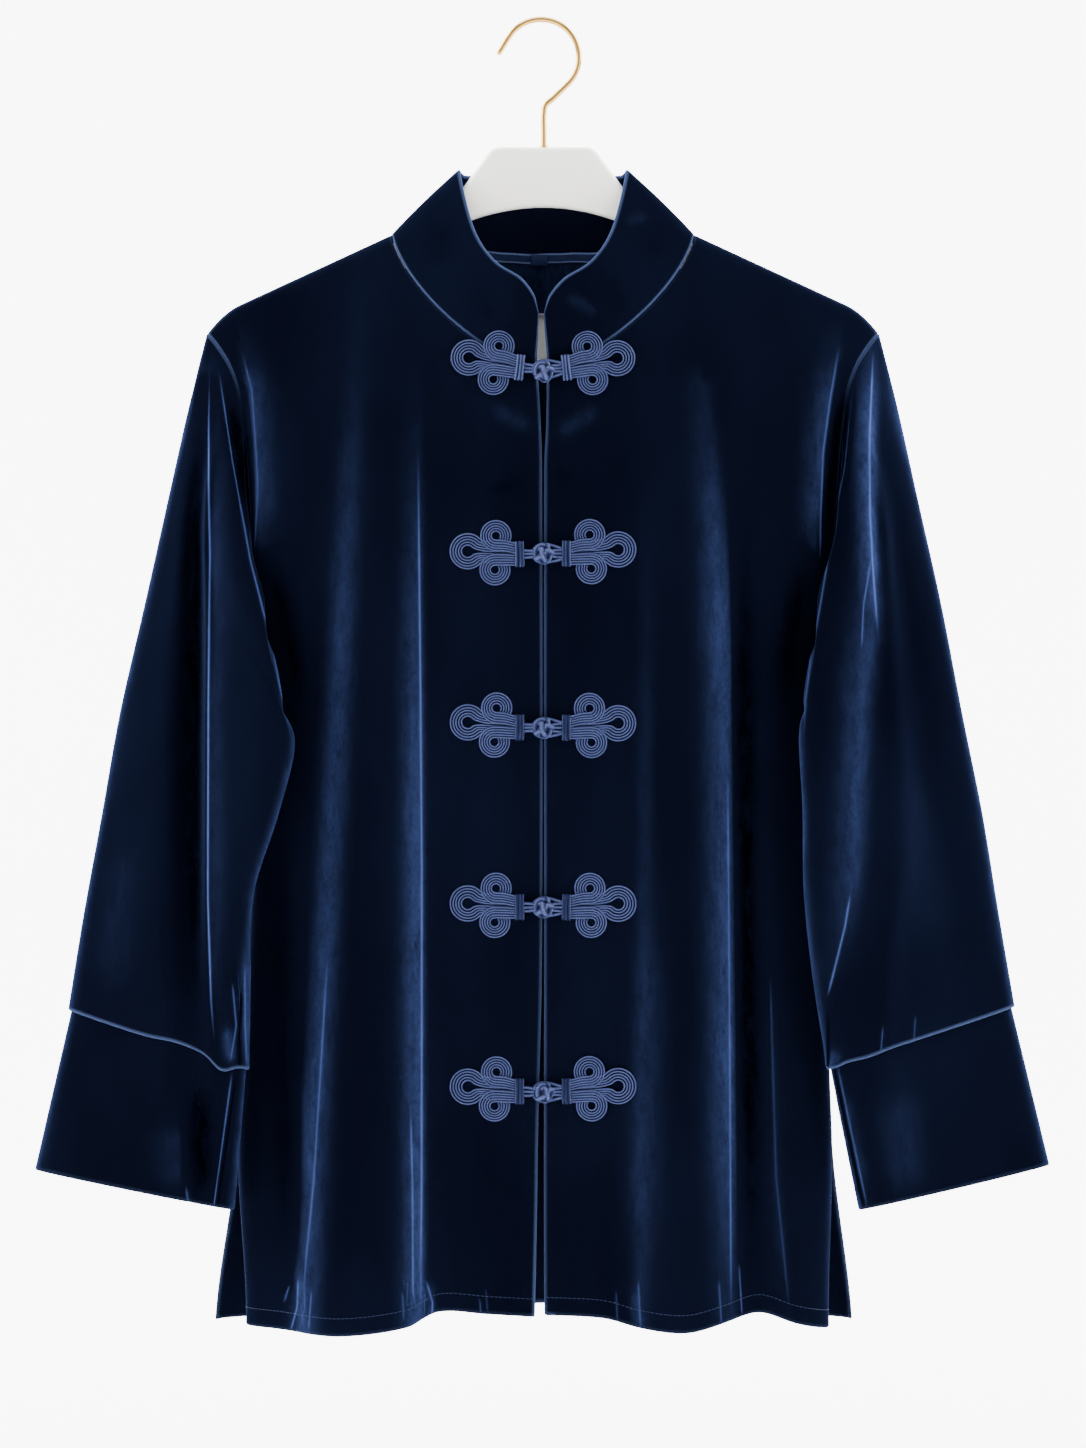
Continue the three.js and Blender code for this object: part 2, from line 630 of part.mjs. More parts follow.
function armholePoints(side) {
  const ring = [];
  for (let j = 0; j <= ARM_ROWS; j += 1) ring.push(fronts[side].grid[j][FRONT_COLS]);
  for (let j = ARM_ROWS - 1; j >= 1; j -= 1) ring.push(back.grid[j][backSide(side, 0)]);
  return ring;
}
const sleeves = {
  left: new Cloth('sleeve_left', sleeveGrid('left', armholePoints('left')), CLOTH, true, 1),
  right: new Cloth('sleeve_right', sleeveGrid('right', armholePoints('right')), CLOTH, true, -1),
};

const neckSeam = [];
for (let j = NECK_ROWS; j >= 0; j -= 1) neckSeam.push(fronts.left.grid[j][0]);
for (let n = 1; n < BACK_NECK_COLS; n += 1) neckSeam.push(back.grid[0][BACK_SHOULDER_COLS + n]);
for (let j = 0; j <= NECK_ROWS; j += 1) neckSeam.push(fronts.right.grid[j][0]);
const collar = new Cloth('collar', collarGrid(neckSeam), COLLAR_WALL, false, 1);

for (const side of ['left', 'right']) {
  const front = fronts[side];
  const sleeve = sleeves[side];
  const ring = sleeve.grid[0].length;
  const neckCol = (j) => (side === 'left' ? NECK_ROWS - j : neckSeam.length - 1 - NECK_ROWS + j);
  const outerCol = backSide(side, 0);
  sew(front, sleeve, run(0, ARM_ROWS, (j) => ({ a: [j, FRONT_COLS], b: [0, j] })), ARM_SEAM);
  sew(back, sleeve, run(ARM_ROWS, 0, (j) => (
    { a: [j, outerCol], b: [0, (ring - j) % ring] })), ARM_SEAM);
  sew(front, back, run(ARM_ROWS, VENT_ROW, (j) => ({ a: [j, FRONT_COLS], b: [j, outerCol] })));
  sew(front, collar, run(0, NECK_ROWS, (j) => ({ a: [j, 0], b: [0, neckCol(j)] })));
  // along the shoulder both walls end upright, in the hanger's plane
  const upright = (cloth, col, y) => {
    cloth.shift[0][col].y += y * SEAM / 2;
    const own = cloth.normals[0][col];
    cloth.partner[0][col].add(new THREE.Vector3(0, -own.y, 1));
  };
  for (let n = 0; n <= FRONT_COLS; n += 1) upright(front, n, -1);
  for (let n = 0; n <= BACK_SHOULDER_COLS; n += 1) upright(back, backSide(side, n), 1);
}
sew(back, collar, run(0, BACK_NECK_COLS, (n) => (
  { a: [0, BACK_SHOULDER_COLS + n], b: [0, NECK_ROWS + n] })));

const cuffs = {};
for (const side of ['left', 'right']) {
  const grid = cuffGrid(side, sleeves[side].grid, sleeves[side].normals);
  cuffs[side] = new Cloth(`cuff_${side}`, grid, CLOTH, true, side === 'left' ? 1 : -1);
}

// ---------------------------------------------------------------- materials and meshes
const finish = {
  velvet: () => new THREE.MeshStandardMaterial({ color: 0x0b1d4a, roughness: 0.9, metalness: 0 }),
  cord: () => new THREE.MeshStandardMaterial({ color: 0x42549a, roughness: 0.5, metalness: 0 }),
  tape: () => new THREE.MeshStandardMaterial({ color: 0x24407e, roughness: 0.7, metalness: 0 }),
  white: () => new THREE.MeshStandardMaterial({ color: 0xf2f2ef, roughness: 0.8, metalness: 0 }),
  ivory: () => new THREE.MeshStandardMaterial({ color: 0xefede8, roughness: 0.35, metalness: 0 }),
  brass: () => new THREE.MeshStandardMaterial({ color: 0xc9a24a, roughness: 0.25, metalness: 1 }),
};
const garment = new THREE.Group();
function addMesh(name, geometry, material) {
  const mesh = new THREE.Mesh(geometry, material);
  mesh.name = name;
  garment.add(mesh);
  return mesh;
}
for (const cloth of [fronts.left, fronts.right, back, collar, sleeves.left, sleeves.right,
  cuffs.left, cuffs.right]) {
  addMesh(cloth.name, cloth.geometry(), finish.velvet());
}

// ---------------------------------------------------------------- frog closures
// outline of the three lobes, the stem and the band as one flat plate with teardrop holes
function frogShape() {
  const outline = new THREE.Shape();
  const [outer, upper, lower] = LOBES;
  const edge = BAND.half;
  outline.moveTo(STEM.from, -STEM.half);
  outline.lineTo(BAND.from, -STEM.half);
  outline.lineTo(BAND.from, -edge);
  outline.lineTo(BAND.to, -edge);
  outline.lineTo(lower.out - lower.radius * 0.9, lower.up - lower.radius * 0.44);
  outline.absarc(lower.out, lower.up, lower.radius, Math.PI * 1.14, Math.PI * 1.92, false);
  outline.absarc(outer.out, outer.up, outer.radius, Math.PI * 1.27, Math.PI * 2.78, false);
  outline.absarc(upper.out, upper.up, upper.radius, Math.PI * 0.1, Math.PI * 0.88, false);
  outline.lineTo(BAND.to, edge);
  outline.lineTo(BAND.from, edge);
  outline.lineTo(BAND.from, STEM.half);
  outline.lineTo(STEM.from, STEM.half);
  outline.closePath();
  for (const lobe of LOBES) {
    const hole = new THREE.Path();
    hole.absellipse(lobe.out, lobe.up, lobe.hole * 1.25, lobe.hole, 0, Math.PI * 2, true);
    outline.holes.push(hole);
  }
  return outline;
}

// places on a half's plate, outwards and upwards, that must lie clear of the cloth below
function frogSamples() {
  const places = [BAND.from, BAND.to].flatMap((out) => [-BAND.half, 0, BAND.half].map((up) => ({ out, up })));
  for (const lobe of LOBES) {
    for (let k = 0; k < 12; k += 1) {
      const angle = k * Math.PI / 6;
      places.push({
        out: lobe.out + lobe.radius * Math.cos(angle),
        up: lobe.up + lobe.radius * Math.sin(angle),
      });
    }
  }
  return places;
}

// flat plate on the panel and the collar's lower corner, in the plane that fits them best
function frogHalf(side, down) {
  const s = sign(side);
  const geometry = new THREE.ExtrudeGeometry(frogShape(), {
    depth: FROG_CORD, bevelEnabled: false, curveSegments: 4, steps: 1,
  });
  geometry.deleteAttribute('normal');
  geometry.deleteAttribute('uv');
  const welded = mergeVertices(geometry, 1e-4);
  const cloths = garment.children.filter((o) => o.name === `front_${side}` || o.name === 'collar');
  const hits = frogSamples().map(({ out, up }) => {
    const ray = new THREE.Raycaster(
      new THREE.Vector3(s * out, -200, up - down),
      new THREE.Vector3(0, 1, 0),
    );
    return { out, up, y: ray.intersectObjects(cloths)[0].point.y };
  });
  const mean = (value) => hits.reduce((sum, hit) => sum + value(hit), 0) / hits.length;
  const out0 = mean((hit) => hit.out);
  const up0 = mean((hit) => hit.up);
  const y0 = mean((hit) => hit.y);
  const leanX = mean((hit) => (hit.out - out0) * (hit.y - y0)) / mean((hit) => (hit.out - out0) ** 2);
  const leanZ = mean((hit) => (hit.up - up0) * (hit.y - y0)) / mean((hit) => (hit.up - up0) ** 2);
  const plane = (out, up) => y0 + leanX * (out - out0) + leanZ * (up - up0);
  const clear = Math.max(...hits.map((hit) => plane(hit.out, hit.up) - hit.y)) + PANEL_GAP;
  const position = welded.attributes.position;
  for (let k = 0; k < position.count; k += 1) {
    const out = position.getX(k);
    const up = position.getY(k);
    position.setXYZ(k, s * out, plane(out, up) - clear - position.getZ(k), -down + up);
  }
  // a mirror turns the faces round once for each side
  const index = welded.index.array;
  if (side === 'left') {
    for (let k = 0; k < index.length; k += 3) [index[k], index[k + 1]] = [index[k + 1], index[k]];
  }
  welded.computeVertexNormals();
  return welded;
}

FROG_DOWN.forEach((down, n) => {
  for (const side of ['left', 'right']) {
    addMesh(`frog_${n + 1}_${side}`, frogHalf(side, down), finish.cord());
  }
  const knot = addMesh(`knot_${n + 1}`, new THREE.SphereGeometry(KNOT_RADIUS, 10, 7), finish.cord());
  const panel = bodyPoint('front', 'right', 0, down).y;
  knot.position.set(0.4, panel - KNOT_LIFT, -down);
});

// ---------------------------------------------------------------- tape, loop and label
// a thin strip inside the back panel; down(x) gives its upper edge
function backStrip(from, to, steps, topAt, height, clear, thick) {
  const grid = [];
  for (let r = 0; r <= 2; r += 1) {
    const line = [];
    for (let c = 0; c <= steps; c += 1) {
      const x = mix(from, to, c / steps);
      const side = x < 0 ? 'left' : 'right';
      const down = topAt(x) + height * r / 2;
      const p = bodyPoint('back', side, turnOf('back', side, Math.abs(x), down), down);
      line.push(new THREE.Vector3(x, p.y - clear, -down));
    }
    grid.push(line);
  }
  return { grid, thick };
}
const neckDip = (x) => mix(NECK_DOWN, BACK_NECK_DOWN, Math.sqrt(1 - (x / NECK_HALF) ** 2) ** 1.1);
const tapeTop = (x) => neckDip(x) + 2.2;
const INNER = CLOTH * 1.12 + 0.5;  // from the back's outer surface to what lies inside it
const tape = backStrip(-TAPE.half, TAPE.half, 12, tapeTop, TAPE.width, INNER, TAPE.thick);
addMesh('neck_tape', new Cloth('neck_tape', tape.grid, tape.thick, false, -1).geometry(), finish.tape());
const loop = backStrip(LOOP.from, LOOP.to, 2, () => BACK_NECK_DOWN + 1.6, LOOP.height,
  INNER + TAPE.thick + 0.4, LOOP.thick);
addMesh('hanging_loop', new Cloth('hanging_loop', loop.grid, loop.thick, false, -1).geometry(),
  finish.tape());
const label = backStrip(-LABEL.half, LABEL.half, 6, () => LABEL.top, LABEL.height, INNER, LABEL.thick);
addMesh('label', new Cloth('label', label.grid, label.thick, false, -1).geometry(), finish.white());

// ---------------------------------------------------------------- hanger and hook
function hangerGeometry() {
  const inset = HANGER_EDGE;
  const seat = (x) => -(shoulderDown(x) + HANGER_SEAT + inset + TIP_DROP * ease((x - 130) / 50));
  const h = HANGER;
  const outline = new THREE.Shape();
  outline.moveTo(-h.plate + inset, -PLATE_DOWN - inset);
  outline.lineTo(h.plate - inset, -PLATE_DOWN - inset);
  outline.lineTo(h.neck - inset, -h.neckDown);
  outline.quadraticCurveTo(h.bend, -h.bendDown, h.arm, seat(h.arm) - 1);
  outline.lineTo(HANGER_END - 8, seat(HANGER_END - 8));
  outline.quadraticCurveTo(HANGER_END, seat(HANGER_END), HANGER_END, seat(HANGER_END) - 5);
  outline.quadraticCurveTo(HANGER_END, -h.tipUnder, HANGER_END - 9, 2 - h.tipUnder);
  outline.lineTo(h.under, -h.underDown);
  outline.quadraticCurveTo(h.bend, -h.underBend, h.arch, inset - h.archDown);
  outline.quadraticCurveTo(0, inset - h.archTop, -h.arch, inset - h.archDown);
  outline.quadraticCurveTo(-h.bend, -h.underBend, -h.under, -h.underDown);
  outline.lineTo(-HANGER_END + 9, 2 - h.tipUnder);
  outline.quadraticCurveTo(-HANGER_END, -h.tipUnder, -HANGER_END, seat(HANGER_END) - 5);
  outline.quadraticCurveTo(-HANGER_END, seat(HANGER_END), -HANGER_END + 8, seat(HANGER_END - 8));
  outline.lineTo(-h.arm, seat(h.arm) - 1);
  outline.quadraticCurveTo(-h.bend, -h.bendDown, -h.neck + inset, -h.neckDown);
  outline.closePath();
  const geometry = new THREE.ExtrudeGeometry(outline, {
    depth: HANGER_THICK - 2 * HANGER_EDGE, bevelEnabled: true, bevelThickness: HANGER_EDGE,
    bevelSize: HANGER_EDGE, bevelSegments: 2, curveSegments: 5, steps: 1,
  });
  geometry.rotateX(Math.PI / 2);
  geometry.translate(0, (HANGER_THICK - 2 * HANGER_EDGE) / 2, 0);
  return geometry;
}

const wasm = await Module();
wasm.setup();
function toManifold(geometry) {
  const bare = geometry.clone();
  bare.deleteAttribute('normal');
  bare.deleteAttribute('uv');
  const welded = mergeVertices(bare, 1e-4);
  return new wasm.Manifold(new wasm.Mesh({
    numProp: 3,
    vertProperties: new Float32Array(welded.attributes.position.array),
    triVerts: new Uint32Array(welded.index.array),
  }));
}
function fromManifold(solid) {
  const mesh = solid.getMesh();
  const geometry = new THREE.BufferGeometry();
  geometry.setAttribute('position', new THREE.Float32BufferAttribute(mesh.vertProperties, 3));
  geometry.setIndex(Array.from(mesh.triVerts));
  return geometry;
}
const bore = new THREE.CylinderGeometry(WIRE + SEAM, WIRE + SEAM, 2 * BORE_DEPTH, 16);
bore.rotateX(Math.PI / 2);
bore.translate(STEM_X, 0, -PLATE_DOWN);
addMesh('hanger', fromManifold(toManifold(hangerGeometry()).subtract(toManifold(bore))), finish.ivory());

class HookPath extends THREE.Curve {
  constructor() {
    super();
    const centreDown = HOOK_RADIUS - WIRE;
    const arc = (degrees) => new THREE.Vector3(
      HOOK_X + HOOK_RADIUS * Math.cos(THREE.MathUtils.degToRad(degrees)),
      0,
      -centreDown + HOOK_RADIUS * Math.sin(THREE.MathUtils.degToRad(degrees)),
    );
    const route = [new THREE.Vector3(-28.6, 0, -20.3)];
    for (let degrees = 148; degrees >= -44; degrees -= 12) route.push(arc(degrees));
    route.push(new THREE.Vector3(6, 0, -49.2));
    route.push(new THREE.Vector3(1.4, 0, -53.4));
    route.push(new THREE.Vector3(STEM_X, 0, -58));
    route.push(new THREE.Vector3(STEM_X, 0, -70));
    route.push(new THREE.Vector3(STEM_X, 0, -PLATE_DOWN - BORE_DEPTH + SEAM));
    this.spline = new THREE.CatmullRomCurve3(route, false, 'centripetal');
  }

  getPoint(t, target = new THREE.Vector3()) {
    return target.copy(this.spline.getPoint(t));
  }
}
const wireSection = new THREE.Shape();
wireSection.absarc(0, 0, WIRE, 0, Math.PI * 2, false);
addMesh('hook', new THREE.ExtrudeGeometry(wireSection, {
  extrudePath: new HookPath(), steps: 44, curveSegments: 4,
}), finish.brass());

export default garment;
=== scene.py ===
"""Velvet jacket with a stand collar, five frog closures and an ivory hanger with a brass hook.

Sizes are in millimetres until a mesh is made, which is in metres. +Z is up, the front faces -Y,
"down" is the distance below the underside of the hook's crown, and "across" the distance from
the centre plane. The wearer's right side is at -X and is called left here.
"""
import math

import bmesh
import bpy
import numpy as np
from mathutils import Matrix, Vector
from mathutils.bvhtree import BVHTree


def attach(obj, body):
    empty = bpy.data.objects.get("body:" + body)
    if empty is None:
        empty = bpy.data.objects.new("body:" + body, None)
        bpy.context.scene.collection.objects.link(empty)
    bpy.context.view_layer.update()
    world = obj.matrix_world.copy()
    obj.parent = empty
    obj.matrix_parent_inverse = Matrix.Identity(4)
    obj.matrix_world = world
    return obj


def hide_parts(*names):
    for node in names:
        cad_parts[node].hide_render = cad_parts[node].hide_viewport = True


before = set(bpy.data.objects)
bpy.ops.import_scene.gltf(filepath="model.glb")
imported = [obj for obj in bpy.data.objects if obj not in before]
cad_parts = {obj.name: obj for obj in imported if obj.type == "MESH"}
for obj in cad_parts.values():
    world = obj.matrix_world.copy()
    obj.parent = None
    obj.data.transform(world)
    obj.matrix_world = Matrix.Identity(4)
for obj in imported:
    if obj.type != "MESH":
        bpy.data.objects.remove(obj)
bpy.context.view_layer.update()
MM = 0.001

# ------------------------------------------------------------------ sizes shared with the frame
CLOTH = 1.8                # wall of the velvet with its facing
COLLAR_WALL = 2.4
SEAM = 0.3                 # play between two pieces at a seam
NECK_HALF = 97.0
NECK_DOWN = 136.0
FRONT_NECK_DOWN = 224.0
BACK_NECK_DOWN = 149.0
NECK_ROUND = 1.45
SHOULDER_SLOPE = 0.459
SHOULDER_ROUND = 0.02
SHOULDER_ROUND_FROM = 194.0
TIP_ACROSS = 215.0
UNDERARM_DOWN = 415.0
VENT_DOWN = 709.0
BACK_HEM = (824.0, 831.0)
ARM_ROUND = 8.0
FILL_DROP = 60.0
SIDE_BACK = 6.0
BODY_POWER = 2.6
ROWS, NECK_ROWS, ARM_ROWS, VENT_ROW = 26, 8, 11, 21
BACK_SHOULDER_COLS, BACK_NECK_COLS = 8, 8

BODY = {
    "down": [130, 200, 300, 360, 415, 560, 709, 845],
    "left": [232, 240, 222, 204, 182, 187, 195, 200],
    "right": [230, 238, 220, 202, 179, 180, 185, 190],
    "front": [44, 47, 50, 51, 51, 51, 52, 54],
    "back": [42, 44, 46, 46, 46, 46, 45, 44],
}
VENT_FLARE = {
    "front": {"left": -10, "right": -7, "depth": -14},
    "back": {"left": 11, "right": 9, "depth": 4},
}
ARMHOLE = {
    "t": [0, 0.04, 0.1, 0.18, 0.35, 0.55, 0.78, 1],
    "across": [215, 208, 200, 194, 189.5, 186.5, 182.5, 180.5],
}
# soft folds: place at the top and hem, where one starts, its width, and its rise outwards
FOLD_COLUMNS = ("top", "hem", "start", "width", "rise")
FOLDS = {
    ("front", "left"): [(82, 75, 230, 8, 13), (120, 156, 210, 13, -17)],
    ("front", "right"): [(70, 58, 420, 15, 8), (104, 121, 230, 8, -14), (140, 158, 480, 9, 9)],
    ("back", "left"): [(58, 66, 260, 12, 10), (112, 130, 300, 14, -12)],
    ("back", "right"): [(74, 82, 240, 11, 11), (128, 142, 320, 12, -12)],
}
FRONT_HEM = {
    "left": {"across": [0, 35, 66, 86, 127, 165, 190],
             "down": [823.5, 821.5, 820, 829, 835, 833, 832]},
    "right": {"across": [0, 38, 62, 91, 119, 138, 160, 184],
              "down": [822, 824, 830, 833, 826, 822, 829, 834]},
}
FRONT_EDGE = {
    "down": [180, 189, 214, 226, 261, 287, 594, 703, 754, 845],
    "left": [4.2, 2.8, 3.8, 3.2, 1.2, 0.5, 0.5, 2.9, 3.6, 5.4],
    "right": [1.6, 0.6, 2.2, 2.5, 1.9, 0.7, 0.6, 0.5, 0.5, 0.8],
}
COLLAR_TOP = {
    "along": [0, 0.12, 0.28, 0.5, 0.75, 1, 1.35, 1.65, 2],
    "across": [0, 3, 13, 30, 43.5, 53, 50, 32, 0],
    "depth": [-41, -42, -41, -35, -23, -4, 14, 24, 27],
    "down": [189, 178, 166.5, 155, 134, 97, 96, 97, 98],
}
COLLAR_CROWN = 2.5
SLEEVE = {
    "left": {
        "along": [0, 0.1, 0.2, 0.32, 0.46, 0.62, 0.8, 1],
        "out_x": [215, 227, 240, 255, 271, 282.5, 294, 304],
        "out_down": [199, 246, 304, 371, 441, 506, 570, 632],
        "out_y": [0, 2, 3, 4, 4, 3, 1, 0],
        "in_x": [182, 179, 167, 157, 167, 183, 186, 186],
        "in_down": [415, 424, 438, 461, 505, 556, 612, 668],
        "in_y": [6, -20, -38, -43, -43, -40, -38, -36],
        "front": [30, 28, 20, 17, 15, 15, 15, 15],
        "back": [30, 36, 31, 18, 18, 19, 19, 19],
        "fold": [0.06, 0.2, 0.34, 0.43, 0.56, 0.7, 0.76, 0.8],
        "ridge": [0, 4, 6, 7, 7, 6, 4, 2],
        "valley": [0, 4, 9, 13, 15, 14, 10, 5],
    },
    "right": {
        "along": [0, 0.1, 0.2, 0.32, 0.46, 0.62, 0.8, 1],
        "out_x": [215, 227, 240, 255, 268.5, 281.5, 291.5, 302],
        "out_down": [199, 246, 304, 371, 441, 506, 568, 630],
        "out_y": [0, 2, 3, 4, 4, 3, 1, 0],
        "in_x": [179, 177, 167, 162, 164, 165, 171, 180],
        "in_down": [415, 424, 438, 456, 500, 556, 612, 667],
        "in_y": [6, -20, -38, -42, -44, -44, -41, -38],
        "front": [30, 28, 21, 18, 17, 16, 16, 16],
        "back": [30, 36, 31, 18, 18, 18, 19, 19],
        "fold": [0.06, 0.2, 0.3, 0.36, 0.4, 0.45, 0.6, 0.7],
        "ridge": [0, 3, 5, 5, 4, 3, 3, 3],
        "valley": [0, 2, 3, 4, 3, 2, 1, 0],
    },
}
RIDGE_WIDTH, VALLEY_WIDTH, VALLEY_OUTWARDS = 8.0, 11.0, 15.0
# how far a sleeve's front falls over the armhole seam near the underarm, and the part of the
# ring in which the lap begins and over which it grows
ARM_LAP = {"left": (14.0, 0.60, 0.33), "right": (12.5, 0.50, 0.38)}
# the left sleeve's hem hangs lower at its seam: place, width and drop
HEM_DROPS = {"left": [(203, 8, 6.0), (232, 15, -2.5)], "right": [(184, 6, 1.5), (205, 9, 1.0)]}
CUFF = {
    "left": {"out_x": 325, "out_down": 734, "out_y": -2, "in_x": 195.5, "in_down": 757,
             "in_y": -36, "front": 14, "back": 17},
    "right": {"out_x": 324, "out_down": 731, "out_y": -2, "in_x": 200, "in_down": 757,
              "in_y": -37, "front": 14, "back": 17},
}
CUFF_LAP = 9.0
FROG_DOWN = [226.5, 341.5, 451.5, 564.5, 681]
LOBES = {
    "outer": {"out": 47.5, "up": 2.5, "radius": 11.6},
    "upper": {"out": 29.5, "up": 12, "radius": 10},
    "lower": {"out": 30.5, "up": -9.5, "radius": 10},
}
CORD = 0.61                # radius of a frog's cord
CORD_PITCH = 1.74          # from one cord to the next in a bundle
BAND_FROM, BAND_TO, BAND_HALF = 12.0, 17.4, 7.4
KNOT_LIFT = 7.4
HANGER_THICK, HANGER_EDGE, HANGER_SEAT, HANGER_END = 10.0, 3.4, 5.6, 188.0
WIRE, HOOK_RADIUS, HOOK_X, STEM_X, PLATE_DOWN = 1.9, 24.3, -1.3, 0.6, 80.0
SIGN = {"left": -1, "right": 1}

# soft creases of the pieces: a line of places (x, down), its width to the left and right of the
# line in mm, and how far it rises; the last column is how strong a highlight is painted beside
# it, and less than 0 is painted shade in a trough
CREASE_COLUMNS = ("line", "width", "rise", "nap")
CREASES = {
    "front_left": [
        ([(-192, 208), (-185.1, 237), (-182.1, 277), (-181, 297), (-182.4, 325), (-184, 345)],
         (3, 10), 2.0, 0.13),
        ([(-192, 240), (-190, 275), (-189, 310), (-188, 345)], (6, 4), -2.0, -1.0),
        ([(-172, 345), (-163, 390), (-153, 440)], (6, 6), -1.2, -0.7),
        ([(-156, 790), (-152, 812), (-153, 834)], (3, 3), 0.8, 0.10),
        ([(-72, 800), (-70, 826)], (2.4, 2.4), 0.8, 0.12),
        ([(-8, 291), (-26, 300), (-40, 303)], (3.5, 3.5), -0.7, -0.3),
        ([(-6, 262), (-22, 255), (-34, 247)], (4, 4), 0.8, 0.05),
        ([(-172, 640), (-150, 690), (-141, 760)], (9, 9), 1.6, 0.02),
        ([(-168, 500), (-166, 640), (-163, 800)], (8, 8), -0.6, -0.5),
    ],
    "front_right": [
        ([(189, 207), (182.7, 241), (177.7, 277), (176.3, 317), (175.9, 350)], (10, 3), 2.0, 0.15),
        ([(193, 225), (187, 270), (183, 310), (180, 345)], (5, 6), -2.0, -1.0),
        ([(168, 345), (160, 390), (153, 440)], (8, 5), -1.2, -0.8),
        ([(101.8, 236), (111, 330), (116.3, 420), (118.2, 648), (118.8, 826)], (11, 5), 0.5, 0.24),
        ([(127, 300), (128, 460), (131, 660), (133, 826)], (6, 7), -0.5, -0.9),
        ([(8, 266), (24, 257), (36, 248)], (4, 4), 0.9, 0.06),
        ([(6, 289), (20, 294)], (3, 3), -0.8, -0.3),
        ([(58, 806), (60, 830)], (2.6, 2.6), 0.9, 0.10),
        ([(70, 560), (67, 640), (64, 730), (64, 800)], (11, 11), 1.6, 0.05),
        ([(144, 600), (148, 737), (156.7, 826)], (7, 3), 0.5, 0.03),
    ],
    "back": [
        ([(-60, 178), (-20, 186), (30, 185), (68, 176)], (8, 8), -1.2, 0.0),
        ([(-150, 420), (-120, 520), (-108, 700)], (12, 12), 2.0, 0.08),
        ([(20, 330), (12, 520), (16, 780)], (16, 16), 2.6, 0.10),
        ([(150, 400), (128, 520), (120, 640)], (11, 11), 1.8, 0.08),
        ([(-72, 800), (-70, 828)], (2.4, 2.4), 0.9, 0.12),
        ([(88, 804), (90, 829)], (2.6, 2.6), 0.9, 0.12),
    ],
    "sleeve_left": [
        ([(-213, 222), (-213, 264), (-211.2, 342), (-211.8, 561), (-207, 655)], (3, 9), 1.4, 0.11),
        ([(-218, 235), (-220, 300), (-221.5, 450), (-221, 600), (-216, 660)], (8, 7), -2.6, -1.0),
        ([(-199, 240), (-192, 280), (-187, 315)], (4, 5), -1.6, -1.0),
        ([(-188, 585), (-189, 630), (-190, 660)], (3, 4), 1.2, 0.12),
        ([(-200, 640), (-198, 664)], (3, 4), 1.6, 0.16),
        ([(-262, 520), (-270, 580), (-276, 628)], (12, 12), 1.4, 0.03),
    ],
    "sleeve_right": [
        ([(211, 209), (207.5, 270), (207.3, 316), (209, 350), (212, 395)], (7, 4), 1.6, 0.32),
        ([(208, 345), (206, 396), (200, 441), (198.4, 486), (195, 543), (190.8, 577), (184.4, 603)],
         (11, 7), 1.4, 0.14),
        ([(193, 236), (188, 275), (184, 305)], (5, 4), -1.4, -1.0),
        ([(228, 470), (240, 540), (246, 600)], (14, 14), 1.6, 0.02),
        ([(186, 655), (180, 668)], (4, 4), 1.2, 0.14),
    ],
    "cuff_left": [
        ([(-218, 672), (-217, 752)], (6, 9), -2.4, -0.9),
        ([(-232, 700), (-229, 745)], (14, 8), 1.4, 0.04),
        ([(-224, 740), (-222, 754)], (2, 2), 0.9, 0.10),
        ([(-203, 680), (-211, 750)], (6, 3), 0.8, 0.06),
    ],
    "cuff_right": [
        ([(222, 676), (231, 750)], (12, 12), 1.2, 0.05),
        ([(187, 676), (203, 748)], (3, 5), 0.8, 0.08),
    ],
    "collar": [
        ([(-60, 128), (-66, 160)], (9, 9), -1.6, -0.2),
        ([(-40, 170), (-28, 196)], (8, 8), -1.2, -0.2),
        ([(36, 166), (50, 192)], (8, 8), -1.4, -0.2),
        ([(62, 128), (70, 158)], (9, 9), -1.6, -0.2),
        ([(14, 178), (38, 190)], (4, 4), 1.0, 0.05),
        ([(58, 120), (66, 145)], (7, 7), 0.8, 0.07),
    ],
}
